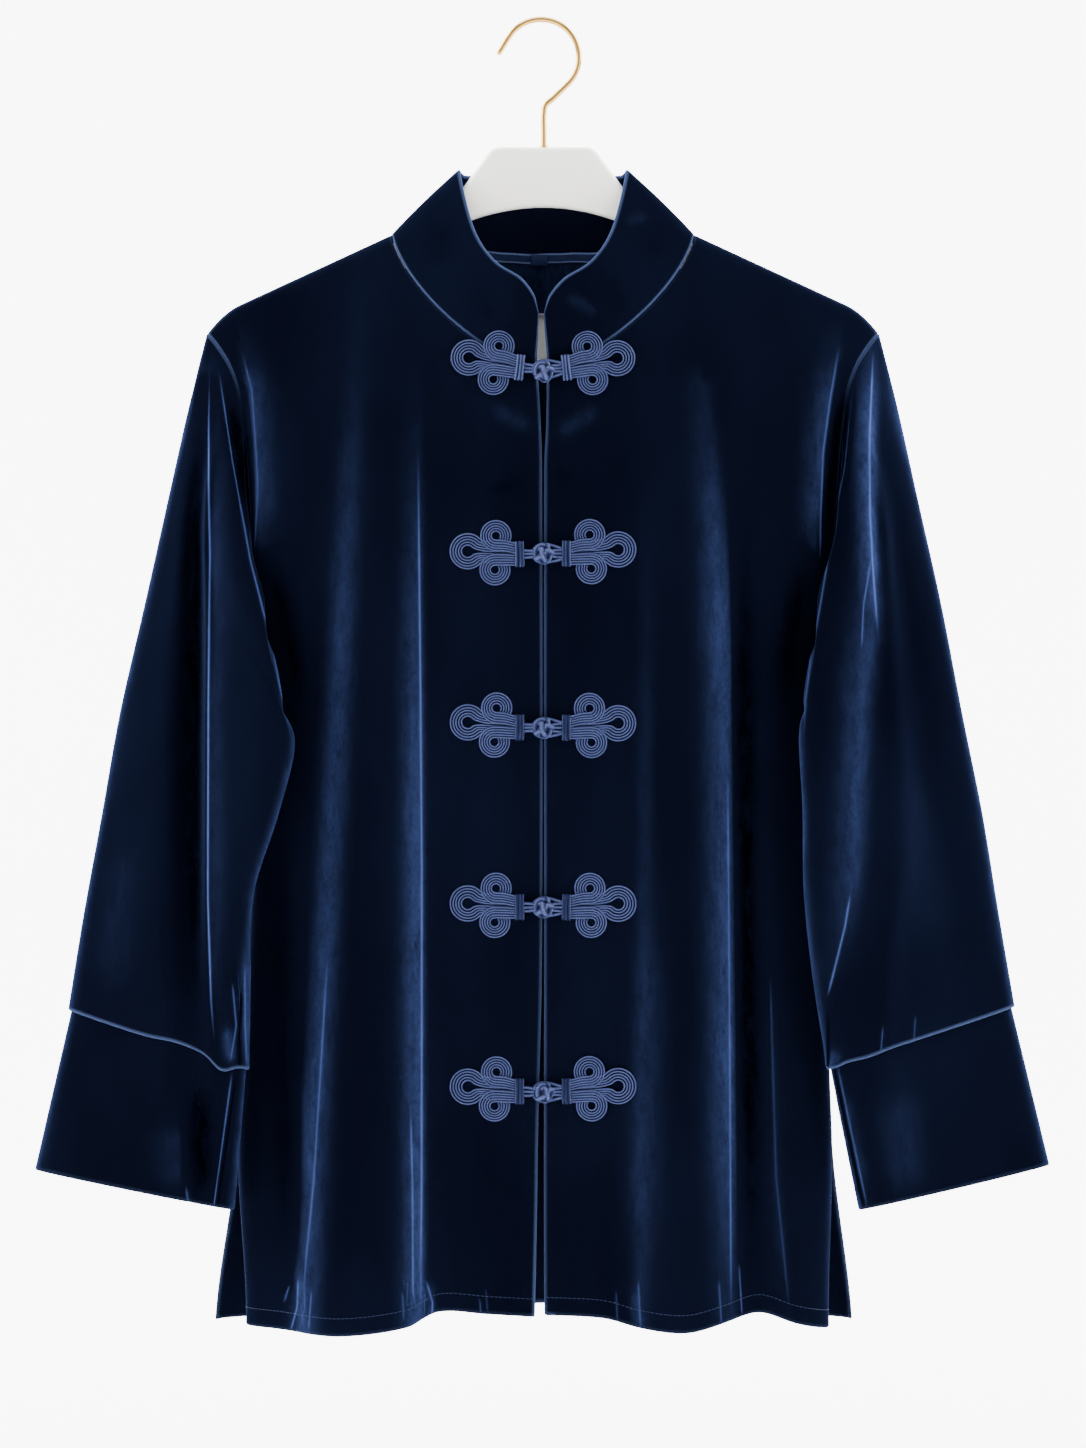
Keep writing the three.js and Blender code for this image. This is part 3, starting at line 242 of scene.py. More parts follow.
# fine creases and seam lines, in two sets so that lines of one set are far apart: places
# (x, down), and how strong a highlight is painted along each, or less than 0 for painted shade in a seam
FINE_LINES = {
    "front_left": (
        [([(-79, 271), (-77.3, 434), (-76.5, 540), (-76.5, 737), (-77.1, 807), (-75.2, 824)], 0.85),
         ([(-135.9, 592), (-144.7, 737), (-149.8, 788), (-151.7, 816)], 0.4),
         ([(-192, 211), (-185.1, 237), (-182.1, 277), (-181, 297), (-182.4, 325), (-184, 345)], 0.3),
         ([(-160.5, 804), (-164, 815)], 0.35),
         ([(-40, 812), (-39, 823)], 0.2)],
        [([(-83.4, 690), (-82.2, 737), (-81.8, 807), (-79.6, 820)], 0.6),
         ([(-73.5, 800), (-69.5, 814), (-70.5, 826)], 0.7),
         ([(-154.8, 800), (-155.5, 818), (-160, 834)], 0.6),
         ([(-146, 806), (-148, 832)], 0.4),
         ([(-88.5, 806), (-87.5, 824)], 0.3),
         ([(-36, 806), (-35, 820)], 0.15)]),
    "front_right": (
        [([(117, 470), (118.2, 648), (118.8, 826)], 0.55),
         ([(144.1, 600), (147.9, 737), (156.7, 826)], 0.18),
         ([(189, 207), (182.7, 241), (177.7, 277), (176.3, 317), (175.9, 350)], 0.45),
         ([(60, 800), (61.5, 830)], 0.35)],
        [([(124, 790), (126, 824)], 0.4),
         ([(111, 800), (112.5, 828)], 0.3),
         ([(46, 806), (47, 826)], 0.2)]),
    "sleeve_left": (
        [([(-213, 219), (-213, 264), (-211.2, 342), (-211.8, 434), (-211.8, 561), (-209.9, 625),
           (-207.3, 657)], 0.95),
         ([(-190.8, 618), (-192, 650), (-192, 670)], -1.0)],
        [([(-207, 222), (-197, 283), (-185.4, 345), (-175.4, 383), (-164, 436), (-158, 462)], 0.75),
         ([(-196.5, 612), (-194, 640), (-198, 664)], 0.5),
         ([(-188.6, 600), (-188.4, 640), (-187.5, 667)], 0.55)]),
    "sleeve_right": (
        [([(211, 209), (207.5, 270), (207.3, 316), (209, 350), (212.5, 395)], 0.9),
         ([(194.5, 555), (190.8, 577), (184.4, 603), (179.6, 622)], 0.75),
         ([(180.5, 632), (180.3, 668)], -0.9)],
        [([(208, 344), (203, 373), (201.6, 402)], 0.5),
         ([(197.6, 230), (191.4, 287), (183.4, 325), (178.6, 355), (171.4, 395), (165.9, 433),
           (164.4, 462)], 0.5),
         ([(215, 640), (213.5, 658)], 0.3),
         ([(236, 634), (235, 650)], 0.22)]),
    "cuff_left": (
        [([(-193.9, 668), (-206.9, 762)], -1.0),
         ([(-226, 742), (-224, 757)], 0.35)],
        [([(-196.6, 668), (-209.4, 762)], 0.6)]),
    "cuff_right": (
        [([(183.2, 662), (203.2, 757)], -0.9)],
        [([(185.6, 662), (205.6, 757)], 0.4),
         ([(179.6, 664), (199.6, 758)], -0.6)]),
}
# crests of the large folds, along which a highlight is painted: place at the top and hem, where
# one starts, how fast the painted highlight falls off towards the centre and outwards, and its strength
CREST_COLUMNS = ("top", "hem", "start", "inwards", "outwards", "shine")
CRESTS = {
    ("front", "left"): [(79, 77.5, 260, 3.0, 9, 0.24), (118, 151, 205, 8, 7, 0.15)],
    ("front", "right"): [(66, 62, 300, 5, 5, 0.05)],
    ("back", "left"): [(62, 70, 270, 3, 12, 0.4), (116, 132, 300, 12, 4, 0.25)],
    ("back", "right"): [(78, 86, 250, 3, 13, 0.4), (130, 144, 330, 11, 4, 0.25)],
}


# ------------------------------------------------------------------ small maths
def clamp(t):
    return np.clip(t, 0.0, 1.0)


def mix(a, b, t):
    return a + (b - a) * t


def ease(t):
    t = clamp(t)
    return t * t * (3 - 2 * t)


def bell(distance, width):
    return np.exp(-(distance / width) ** 2)


def unit(v):
    return v / np.maximum(1e-12, np.linalg.norm(v, axis=-1, keepdims=True))


def lookup(table, by, key, at):
    """Smooth value of a table's column at places along another of its columns."""
    xs, ys = np.array(table[by], float), np.array(table[key], float)
    last = len(xs) - 1
    at = np.clip(np.asarray(at, float), xs[0], xs[-1])
    i = np.clip(np.searchsorted(xs, at, side="left") - 1, 0, last - 1)
    low, high = np.maximum(0, np.arange(last + 1) - 1), np.minimum(last, np.arange(last + 1) + 1)
    tangent = (ys[high] - ys[low]) / (xs[high] - xs[low])
    width = xs[i + 1] - xs[i]
    t = (at - xs[i]) / width
    return ((2 * t**3 - 3 * t**2 + 1) * ys[i] + (t**3 - 2 * t**2 + t) * width * tangent[i]
            + (3 * t**2 - 2 * t**3) * ys[i + 1] + (t**3 - t**2) * width * tangent[i + 1])


# ------------------------------------------------------------------ the body's draped surface
def shoulder_down(across):
    return (NECK_DOWN + SHOULDER_SLOPE * (across - NECK_HALF)
            + SHOULDER_ROUND * np.maximum(0, across - SHOULDER_ROUND_FROM) ** 2)


def vent_open(down):
    return ease((down - VENT_DOWN) / 130)


def half_width(face, side, down):
    return lookup(BODY, "down", side, down) + VENT_FLARE[face][side] * vent_open(down)


def fold_rise(face, side, across, down):
    rise = 0
    for row in FOLDS[face, side]:
        fold = dict(zip(FOLD_COLUMNS, row))
        place = mix(fold["top"], fold["hem"], clamp((down - fold["start"]) / (830 - fold["start"])))
        grown = ease((down - fold["start"]) / 420)
        rise = rise + fold["rise"] * grown * 0.5 * (1 + np.tanh((across - place) / fold["width"]))
    return rise


def crest_shine(face, side, across, down):
    shine = 0
    for row in CRESTS[face, side]:
        crest = dict(zip(CREST_COLUMNS, row))
        place = mix(crest["top"], crest["hem"], clamp((down - crest["start"]) / (830 - crest["start"])))
        off = across - place
        fall = np.where(off < 0, bell(off, crest["inwards"]), bell(off, crest["outwards"]))
        shine = shine + crest["shine"] * ease((down - crest["start"] + 60) / 330) * fall
    return shine


def body_point(face, side, turn, down):
    """Outer surface; turn is 0 at the centre plane and 1 at the side seam."""
    fraction = np.sin(turn * np.pi / 2)
    across = half_width(face, side, down) * fraction
    around = (1 - fraction**BODY_POWER) ** (1 / BODY_POWER)
    drop = np.maximum(0, down - shoulder_down(across))
    over = ARM_ROUND * np.sqrt(np.maximum(0, 1 - (1 - np.minimum(1, drop / ARM_ROUND)) ** 2))
    filled = 1 - np.exp(-drop / FILL_DROP)
    edge = (SIDE_BACK + VENT_FLARE[face]["depth"] * vent_open(down)) * filled
    way = 1 if face == "front" else -1
    full = lookup(BODY, "down", face, down) + way * edge
    fold = fold_rise(face, side, across, down) * ease((1 - turn) / 0.3)
    depth = around * (over * (1 - filled) + full * filled) + fold * filled
    return np.stack([SIGN[side] * across, edge - way * depth, -down + 0 * across], axis=-1)


def turn_of(face, side, across, down):
    return np.arcsin(np.minimum(1, across / half_width(face, side, down))) * 2 / np.pi


def hem_down(face, side, across):
    if face == "front":
        return lookup(FRONT_HEM[side], "across", "down", across)
    return mix(BACK_HEM[0], BACK_HEM[1], across / 200)


def side_column(face, side, row):
    """Outer border of a body panel: armhole, side seam, vent."""
    t = clamp(row / ARM_ROWS) ** 1.3
    arm_down = mix(shoulder_down(TIP_ACROSS), UNDERARM_DOWN, t)
    arm_turn = turn_of(face, side, lookup(ARMHOLE, "t", "across", t), arm_down)
    arm_turn = mix(arm_turn, 1.0, ease((t - 0.7) / 0.3))
    hem = hem_down(face, side, half_width(face, side, 840.0))
    below = mix(UNDERARM_DOWN, VENT_DOWN, (row - ARM_ROWS) / (VENT_ROW - ARM_ROWS))
    vent = mix(VENT_DOWN, hem, (row - VENT_ROW) / (ROWS - VENT_ROW))
    down = np.where(row < ARM_ROWS, arm_down, np.where(row <= VENT_ROW, below, vent))
    return np.where(row < ARM_ROWS, arm_turn, 1.0), down


def front_column(side, row):
    """Inner border of a front: neck seam, then the centre-front edge."""
    angle = clamp(row / NECK_ROWS) ** 1.25 * np.pi / 2
    power = 2 / NECK_ROUND
    edge = lookup(FRONT_EDGE, "down", side, FRONT_NECK_DOWN)
    neck_across = edge + (NECK_HALF - edge) * np.maximum(0, np.cos(angle)) ** power
    neck_down = NECK_DOWN + (FRONT_NECK_DOWN - NECK_DOWN) * np.sin(angle) ** power
    hem = hem_down("front", side, 3.0)
    down = mix(FRONT_NECK_DOWN, hem, (row - NECK_ROWS) / (ROWS - NECK_ROWS))
    down = np.where(row <= NECK_ROWS, neck_down, down)
    across = np.where(row <= NECK_ROWS, neck_across, lookup(FRONT_EDGE, "down", side, down))
    return turn_of("front", side, across, down), down


def coons(left, right, top, bottom, u, v):
    """Transfinite blend of four borders, each a pair of turn and down."""
    made = []
    for key in (0, 1):
        le, ri = left[key][:, None], right[key][:, None]
        to, bo = top[key][None, :], bottom[key][None, :]
        corner = (to[0, 0], to[0, -1], bo[0, 0], bo[0, -1])
        made.append((1 - u) * le + u * ri + (1 - v) * to + v * bo
                    - (1 - u) * (1 - v) * corner[0] - u * (1 - v) * corner[1]
                    - (1 - u) * v * corner[2] - u * v * corner[3])
    return made


def row_places():
    """Rows of a panel, with one at each end of the neck, armhole and side seam."""
    marks = [(0, NECK_ROWS, 44), (NECK_ROWS, ARM_ROWS, 24), (ARM_ROWS, VENT_ROW, 92), (VENT_ROW, ROWS, 56)]
    places = [0.0]
    for first, last, count in marks:
        a, b = (first / ROWS) ** 1.5, (last / ROWS) ** 1.5
        bend = 1.3 if first == 0 else 1.0
        places += [mix(a, b, (k / count) ** bend) for k in range(1, count + 1)]
    return np.array(places)


V = row_places()
ROW = ROWS * V ** (2 / 3)
ARM_END = int(np.argmin(abs(ROW - ARM_ROWS)))
NECK_END = int(np.argmin(abs(ROW - NECK_ROWS)))
VENT_END = int(np.argmin(abs(ROW - VENT_ROW)))
FRONT_STEPS = 124
BACK_NECK_STEPS, BACK_SHOULDER_STEPS = 30, 58


def front_grid(side):
    u = np.linspace(0, 1, FRONT_STEPS + 1)
    across = mix(NECK_HALF, TIP_ACROSS, u)
    top = (turn_of("front", side, across, shoulder_down(across)), shoulder_down(across))
    edge = front_column(side, np.array([float(ROWS)]))[0][0]
    turn = mix(edge, 1, u)
    bottom = (turn, hem_down("front", side, half_width("front", side, 840.0) * np.sin(turn * np.pi / 2)))
    at = coons(front_column(side, ROW), side_column("front", side, ROW), top, bottom, u[None, :], V[:, None])
    return body_point("front", side, clamp(at[0]), at[1])


def back_half(side):
    neck_cols = BACK_NECK_COLS / 2
    half = BACK_SHOULDER_COLS + neck_cols
    n = np.concatenate([np.linspace(0, neck_cols, BACK_NECK_STEPS + 1),
                        np.linspace(neck_cols, half, BACK_SHOULDER_STEPS + 1)[1:]])
    inside = n <= neck_cols
    across = np.where(inside, NECK_HALF * np.sin(np.minimum(1, n / neck_cols) * np.pi / 2),
                      mix(NECK_HALF, TIP_ACROSS, (n - neck_cols) / BACK_SHOULDER_COLS))
    down = np.where(inside, neck_dip(across), shoulder_down(across))
    turn = n / half
    hem = hem_down("back", side, half_width("back", side, 840.0) * np.sin(turn * np.pi / 2))
    middle = (0 * V, mix(down[0], hem[0], V))
    at = coons(middle, side_column("back", side, ROW), (turn_of("back", side, across, down), down),
               (turn, hem), turn[None, :], V[:, None])
    return body_point("back", side, clamp(at[0]), at[1])


def neck_dip(across):
    dip = np.sqrt(np.maximum(0, 1 - (across / NECK_HALF) ** 2))
    return mix(NECK_DOWN, BACK_NECK_DOWN, dip**1.1)


def back_grid():
    return np.concatenate([back_half("left")[:, ::-1], back_half("right")[:, 1:]], axis=1)


# ------------------------------------------------------------------ sleeves, cuffs, collar
def arm_ring(side, shape, part, is_front):
    """Ring of the arm: part 0 is the outer rail and 1 the inner rail."""
    m = (1 - np.cos(part * np.pi)) / 2
    bulge = np.maximum(0, np.sin(part * np.pi)) ** 0.85
    y = mix(shape["out_y"], shape["in_y"], m)
    y = y + np.where(is_front, -shape["front"], shape["back"]) * bulge
    span = math.hypot(shape["out_x"] - shape["in_x"], shape["out_down"] - shape["in_down"])
    past = (m - shape["fold"]) * span
    fold = -shape["ridge"] * bell(past, RIDGE_WIDTH)
    fold = fold + shape["valley"] * bell(past + VALLEY_OUTWARDS, VALLEY_WIDTH) * np.minimum(1, bulge * 1.4)
    y = y + np.where(is_front, fold, 0)
    return np.stack([SIGN[side] * mix(shape["out_x"], shape["in_x"], m), y,
                     -mix(shape["out_down"], shape["in_down"], m)], axis=-1)


def ring_parts():
    front_part = ROW[: ARM_END + 1] / ARM_ROWS
    back_part = front_part[1:-1][::-1]
    return (np.concatenate([front_part, back_part]),
            np.arange(len(front_part) + len(back_part)) <= ARM_END)


def sleeve_grid(side, armhole):
    part, is_front = ring_parts()
    m = ((1 - np.cos(part * np.pi)) / 2)[:, None]
    table = SLEEVE[side]
    keys = [k for k in table if k != "along"]
    rows = [armhole]
    steps = 130
    for k in range(1, steps + 1):
        along = (k / steps) ** 1.15
        shape = {key: float(lookup(table, "along", key, along)) for key in keys}
        moved = []
        for rail in ("out", "in"):
            moved.append(np.array([
                SIGN[side] * (shape[rail + "_x"] - table[rail + "_x"][0]),
                shape[rail + "_y"] - table[rail + "_y"][0],
                -(shape[rail + "_down"] - table[rail + "_down"][0])]))
        carried = armhole + mix(moved[0], moved[1], m)
        ring = mix(carried, arm_ring(side, shape, part, is_front), ease(along / 0.2))
        most, begin, over = ARM_LAP[side]
        lap = most * ease(along / 0.06) * (1 - ease((along - 0.08) / 0.17)) * is_front
        lap = lap * ease((part - begin) / over) * (1 - ease((part - 0.94) / 0.06))
        ring[:, 0] -= SIGN[side] * lap
        ring[:, 1] -= 0.7 * lap
        for place, width, drop in HEM_DROPS[side]:
            ring[:, 2] -= drop * bell(abs(ring[:, 0]) - place, width) * ease((along - 0.86) / 0.14) * is_front
        rows.append(ring)
    return np.array(rows)


def cuff_grid(side, sleeve, normals):
    part, is_front = ring_parts()
    inset = sleeve - normals * (CLOTH + 0.4)
    hem = inset[-1]
    above = hem + unit(inset[-4] - hem) * CUFF_LAP
    shape = dict(CUFF[side], ridge=0, valley=0, fold=0.5)
    mouth = arm_ring(side, shape, part, is_front)
    lap = [mix(above, hem, t) for t in np.linspace(0, 1, 5)[:-1]]
    return np.array(lap + [mix(hem, mouth, t) for t in np.linspace(0, 1, 34)])


def collar_grid(seam, along):
    """Stand collar on the neck seam; along runs 0, 1, 2, 1, 0 from centre front to centre front."""
    count = len(seam)
    middle = count // 2
    side = np.where(np.arange(count) <= middle, -1, 1)
    top_down = lookup(COLLAR_TOP, "along", "down", along)
    gap = np.maximum(0, 1 - along / 0.3)
    edge = np.where(side < 0, lookup(FRONT_EDGE, "down", "left", top_down),
                    lookup(FRONT_EDGE, "down", "right", top_down)) * gap
    top = np.stack([side * (lookup(COLLAR_TOP, "along", "across", along) + edge),
                    lookup(COLLAR_TOP, "along", "depth", along), -top_down], axis=-1)
    rows = []
    for w in np.linspace(0, 1, 29):
        p = mix(seam, top, w)
        for col, name in ((0, "left"), (count - 1, "right")):
            p[col, 0] = SIGN[name] * lookup(FRONT_EDGE, "down", name, -p[col, 2])
        outwards = unit(np.stack([p[:, 0], p[:, 1] + 8, 0 * p[:, 0]], axis=-1))
        rows.append(p + outwards * (COLLAR_CROWN * np.sin(w * np.pi) * np.minimum(1, along * 3))[:, None])
    return np.array(rows)


# ------------------------------------------------------------------ cloth walls
def grid_normals(grid, closed):
    """Outward normals, away from the garment's inside, of a grid of points."""
    if closed:
        wide = np.concatenate([grid[:, -1:], grid, grid[:, :1]], axis=1)
        across = wide[:, 2:] - wide[:, :-2]
    else:
        across = np.gradient(grid, axis=1)
    return unit(np.cross(np.gradient(grid, axis=0), across))


def lengths(line):
    return np.concatenate([[0], np.cumsum(np.linalg.norm(np.diff(line, axis=0), axis=1))])


def draw_in(grid, pull, both_ways):
    """Draws a grid's borders in by a small length, and spreads the points behind them."""
    def along_lines(g):
        out = g.copy()
        for c in range(g.shape[1]):
            d = lengths(g[:, c])
            near = np.minimum(d, d[-1] - d)
            push = pull * np.maximum(0, 1 - near / (3 * pull)) ** 2
            new = np.where(d < d[-1] / 2, d + push, d - push)
            for k in range(3):
                out[:, c, k] = np.interp(new, d, g[:, c, k])
        return out
    grid = along_lines(grid)
    return along_lines(grid.transpose(1, 0, 2)).transpose(1, 0, 2) if both_ways else grid


def line_distance(x, z, line):
    """Distance of places from a line of places that runs down, positive to its right, and the part
    of the line that they lie beside."""
    points = np.array([(px, -down) for px, down in line], float)
    total = lengths(points)
    best, where = np.full(x.shape, 1e9), np.zeros(x.shape)
    for k in range(len(points) - 1):
        a, d = points[k], points[k + 1] - points[k]
        t = clamp(((x - a[0]) * d[0] + (z - a[1]) * d[1]) / (d @ d))
        right = (z - a[1]) * d[0] - (x - a[0]) * d[1]
        distance = np.hypot(x - a[0] - t * d[0], z - a[1] - t * d[1]) * np.where(right < 0, -1, 1)
        closer = abs(distance) < abs(best)
        best = np.where(closer, distance, best)
        where = np.where(closer, (total[k] + t * (total[k + 1] - total[k])) / total[-1], where)
    return best, where


def crease(name, grid, normals, shown):
    """Rise of the listed creases, and the highlight or shade painted along them."""
    rise, nap = np.zeros(grid.shape[:2]), np.zeros(grid.shape[:2])
    for row in CREASES.get(name, []):
        row = dict(zip(CREASE_COLUMNS, row))
        off, where = line_distance(grid[..., 0], grid[..., 2], row["line"])
        ends = ease(where / 0.3) * ease((1 - where) / 0.3) * 0.85 + 0.15
        soft = np.where(off < 0, bell(off, row["width"][0]), bell(off, row["width"][1])) * ends * shown
        rise += row["rise"] * soft
        nap += row["nap"] * soft
    return grid + normals * rise[..., None], nap


LINE_REACH = 5.0           # mm beside a fine line beyond which its set says nothing


def fine_lines(name, grid, shown):
    """For both sets, the distance from the nearest fine line in mm, and the strength of the highlight or
    shade painted along it.
    """
    made = {}
    for key, rows in zip("ab", FINE_LINES.get(name, ([], []))):
        best, off = np.full(grid.shape[:2], 1e9), np.full(grid.shape[:2], LINE_REACH)
        shine = np.zeros(grid.shape[:2])
        for line, strength in rows:
            distance, where = line_distance(grid[..., 0], grid[..., 2], line)
            closer = abs(distance) < best
            tip = ease(where / 0.15) * ease((1 - where) / 0.15) * (abs(distance) < LINE_REACH)
            best = np.where(closer, abs(distance), best)
            off = np.where(closer, np.clip(distance, -LINE_REACH, LINE_REACH), off)
            shine = np.where(closer, strength * tip * shown, shine)
        made["off_" + key], made["line_" + key] = off, shine
    return made


def wall(name, grid, thick, closed, flip, nap, material, gap=SEAM, marks={}, inside_painted_highlight=0.0):
    """Closed shell with rounded edges from a grid of its outer surface."""
    radius = thick / 2
    rows, cols = grid.shape[:2]
    from_top = np.array([lengths(grid[:, c]) for c in range(cols)]).T
    rim = np.minimum(from_top, from_top[-1] - from_top)
    if not closed:
        left = np.array([lengths(grid[r]) for r in range(rows)])
        right = np.array([lengths(grid[r, ::-1]) for r in range(rows)])[:, ::-1]
        rim = np.minimum(rim, np.minimum(left, right))
    grid = draw_in(grid, radius + gap / 2, not closed)
    normals = grid_normals(grid, closed) * flip
    if closed:
        loops = [[(0, c) for c in range(cols)], [(rows - 1, c) for c in range(cols)]]
    else:
        loops = [[(0, c) for c in range(cols)] + [(r, cols - 1) for r in range(1, rows)]
                 + [(rows - 1, c) for c in range(cols - 2, -1, -1)]
                 + [(r, 0) for r in range(rows - 2, 0, -1)]]
    outer = grid.reshape(-1, 3)
    inner = (grid - normals * thick).reshape(-1, 3)
    verts = [outer, inner]
    count = len(outer)
    index = np.arange(count).reshape(rows, cols)
    nxt = np.roll(index, -1, axis=1) if closed else index[:, 1:]
    cur = index if closed else index[:, :-1]
    quads = np.stack([cur[:-1], cur[1:], nxt[1:], nxt[:-1]], axis=-1).reshape(-1, 4)
    faces = [quads, quads[:, ::-1] + count]
    # painted highlight and shade on the outer face; the inside's painted highlight on the inner face
    values = [nap.reshape(-1), inside_painted_highlight + 0 * nap.reshape(-1)]
    # painted highlight close to every border, on both faces
    rim_highlights = [0.3 * bell(rim.reshape(-1), 0.5)] * 2
    base = 2 * count
    arcs = 4
    for loop in loops:
        ids = np.array([index[r, c] for r, c in loop])
        points, own = outer[ids], normals.reshape(-1, 3)[ids]
        tangent = np.roll(points, -1, axis=0) - np.roll(points, 1, axis=0)
        out = unit(np.cross(tangent, own))
        inside = np.array([grid[min(max(r, 2), rows - 3), c if closed else min(max(c, 2), cols - 3)]
                           for r, c in loop]) - points
        out *= np.where(np.sum(inside * out, axis=1) > 0, -1, 1)[:, None]
        rings = [ids]
        for k in range(1, arcs):
            angle = k * np.pi / arcs
            verts.append(points - own * radius + radius * (np.cos(angle) * own + np.sin(angle) * out))
            values.append(0 * ids.astype(float))
            # painted highlight round the rolled edge, strongest half way round
            rim_highlights.append(np.full(len(ids), math.sin(angle) ** 3))
            rings.append(base + np.arange(len(ids)))
            base += len(ids)
        rings.append(ids + count)
        for a, b in zip(rings[:-1], rings[1:]):
            faces.append(np.stack([a, b, np.roll(b, -1), np.roll(a, -1)], axis=-1))
    obj = make(name, np.concatenate(verts), np.concatenate(faces), material, fix_normals=True)
    # attribute of the painted highlight and shade
    paint(obj, "nap", np.concatenate(values))
    # rim: the painted highlight on the edges
    paint(obj, "rim", np.concatenate(rim_highlights) * edge_light(name, np.concatenate(verts)))
    for key, value in marks.items():
        rest = LINE_REACH if key.startswith("off") else 0.0
        paint(obj, key, np.concatenate([value.reshape(-1), np.full(len(obj.data.vertices) - count, rest)]))
    return obj


def edge_light(name, points):
    """Strength of the highlight painted on a rolled edge: it fades at sewn seams, down the armhole, at hems
    and vents.
    """
    across, down = abs(points[:, 0]), -points[:, 2]
    light = np.full(len(points), 0.6)
    if name.startswith("cuff"):
        return light * 0.2
    if name.startswith(("front", "back", "sleeve")):
        near = ease((across - 160) / 14) * ease((430 - down) / 20)
        light = mix(light, 0.36 * ease((248 - down) / 40) + 0.02, near)
    if name.startswith(("front", "back")):
        light = mix(light, 0.22, ease((across - 150) / 20) * ease((down - 415) / 15))
        light = mix(light, 0.12, ease((down - 812) / 6) * ease((across - 4) / 6))
        light = mix(light, 0.06, ease((227 - down) / 3) * ease((99 - across) / 3))
        light = light * mix(1.0, 0.4, ease((195 - down) / 20) * ease((across - 90) / 14))
        light = light * mix(1.0, 0.55, ease((6 - across) / 3) * ease((down - 232) / 8))
    return light


def make(name, verts, faces, material, fix_normals=False, uv=None):
    """Mesh object in metres, at the origin."""
    mesh = bpy.data.meshes.new(name)
    mesh.from_pydata((np.asarray(verts) * MM).tolist(), [], [list(map(int, f)) for f in faces])
    mesh.materials.append(material)
    if uv is not None:
        layer = mesh.uv_layers.new(name="UVMap")
        layer.data.foreach_set("uv", np.asarray(uv, np.float32).ravel())
    mesh.update()
    obj = bpy.data.objects.new(name, mesh)
    bpy.context.scene.collection.objects.link(obj)
    if fix_normals:
        make_outward(mesh)
    mesh.shade_smooth()
    return obj


def make_outward(mesh):
    work = bmesh.new()
    work.from_mesh(mesh)
    bmesh.ops.recalc_face_normals(work, faces=work.faces)
    work.to_mesh(mesh)
    work.free()


def paint(obj, name, values):
    attribute = obj.data.attributes.new(name, "FLOAT", "POINT")
    attribute.data.foreach_set("value", np.asarray(values, np.float32))


# ------------------------------------------------------------------ materials
def material(name, **sockets):
    made = bpy.data.materials.new(name)
    made.use_nodes = True
    shader = made.node_tree.nodes["Principled BSDF"]
    for key, value in sockets.items():
        shader.inputs[key.replace("_", " ")].default_value = value
    return made, made.node_tree, shader


def node(tree, kind, **values):
    made = tree.nodes.new(kind)
    for key, value in values.items():
        if hasattr(made, key):
            setattr(made, key, value)
        else:
            made.inputs[key.replace("_", " ")].default_value = value
    return made


def link(tree, a, b):
    tree.links.new(a, b)


def math_node(tree, operation, a, b=None, use_clamp=False):
    made = tree.nodes.new("ShaderNodeMath")
    made.operation = operation
    made.use_clamp = use_clamp
    for socket, value in zip(made.inputs, (a, b)):
        if value is None:
            continue
        if isinstance(value, (int, float)):
            socket.default_value = value
        else:
            tree.links.new(value, socket)
    return made.outputs[0]


def noise(tree, coords, scale, detail=3.0, stretch=(1, 1, 1), rough=0.55):
    mapping = node(tree, "ShaderNodeMapping")
    mapping.inputs["Scale"].default_value = stretch
    link(tree, coords, mapping.inputs["Vector"])
    made = node(tree, "ShaderNodeTexNoise", Scale=scale, Detail=detail, Roughness=rough)
    link(tree, mapping.outputs[0], made.inputs["Vector"])
    return made.outputs["Fac"]


def blend_colour(tree, factor, a, b):
    made = tree.nodes.new("ShaderNodeMix")
    made.data_type = "RGBA"
    tree.links.new(factor, made.inputs[0])
    for socket, value in ((made.inputs[6], a), (made.inputs[7], b)):
        if isinstance(value, tuple):
            socket.default_value = value
        else:
            tree.links.new(value, socket)
    return made.outputs[2]


def fine_line(tree, key, core):
    """Highlight painted along a fine crease, or shade painted along a seam, from the painted distance to its
    line.
    """
    off = node(tree, "ShaderNodeAttribute", attribute_name="off_" + key).outputs["Fac"]
    strength = node(tree, "ShaderNodeAttribute", attribute_name="line_" + key).outputs["Fac"]
    near = math_node(tree, "MULTIPLY", off, 1 / core)
    spread = math_node(tree, "ADD", math_node(tree, "MULTIPLY", near, near), 1.0)
    return math_node(tree, "MULTIPLY", math_node(tree, "POWER", spread, -2.0), strength)


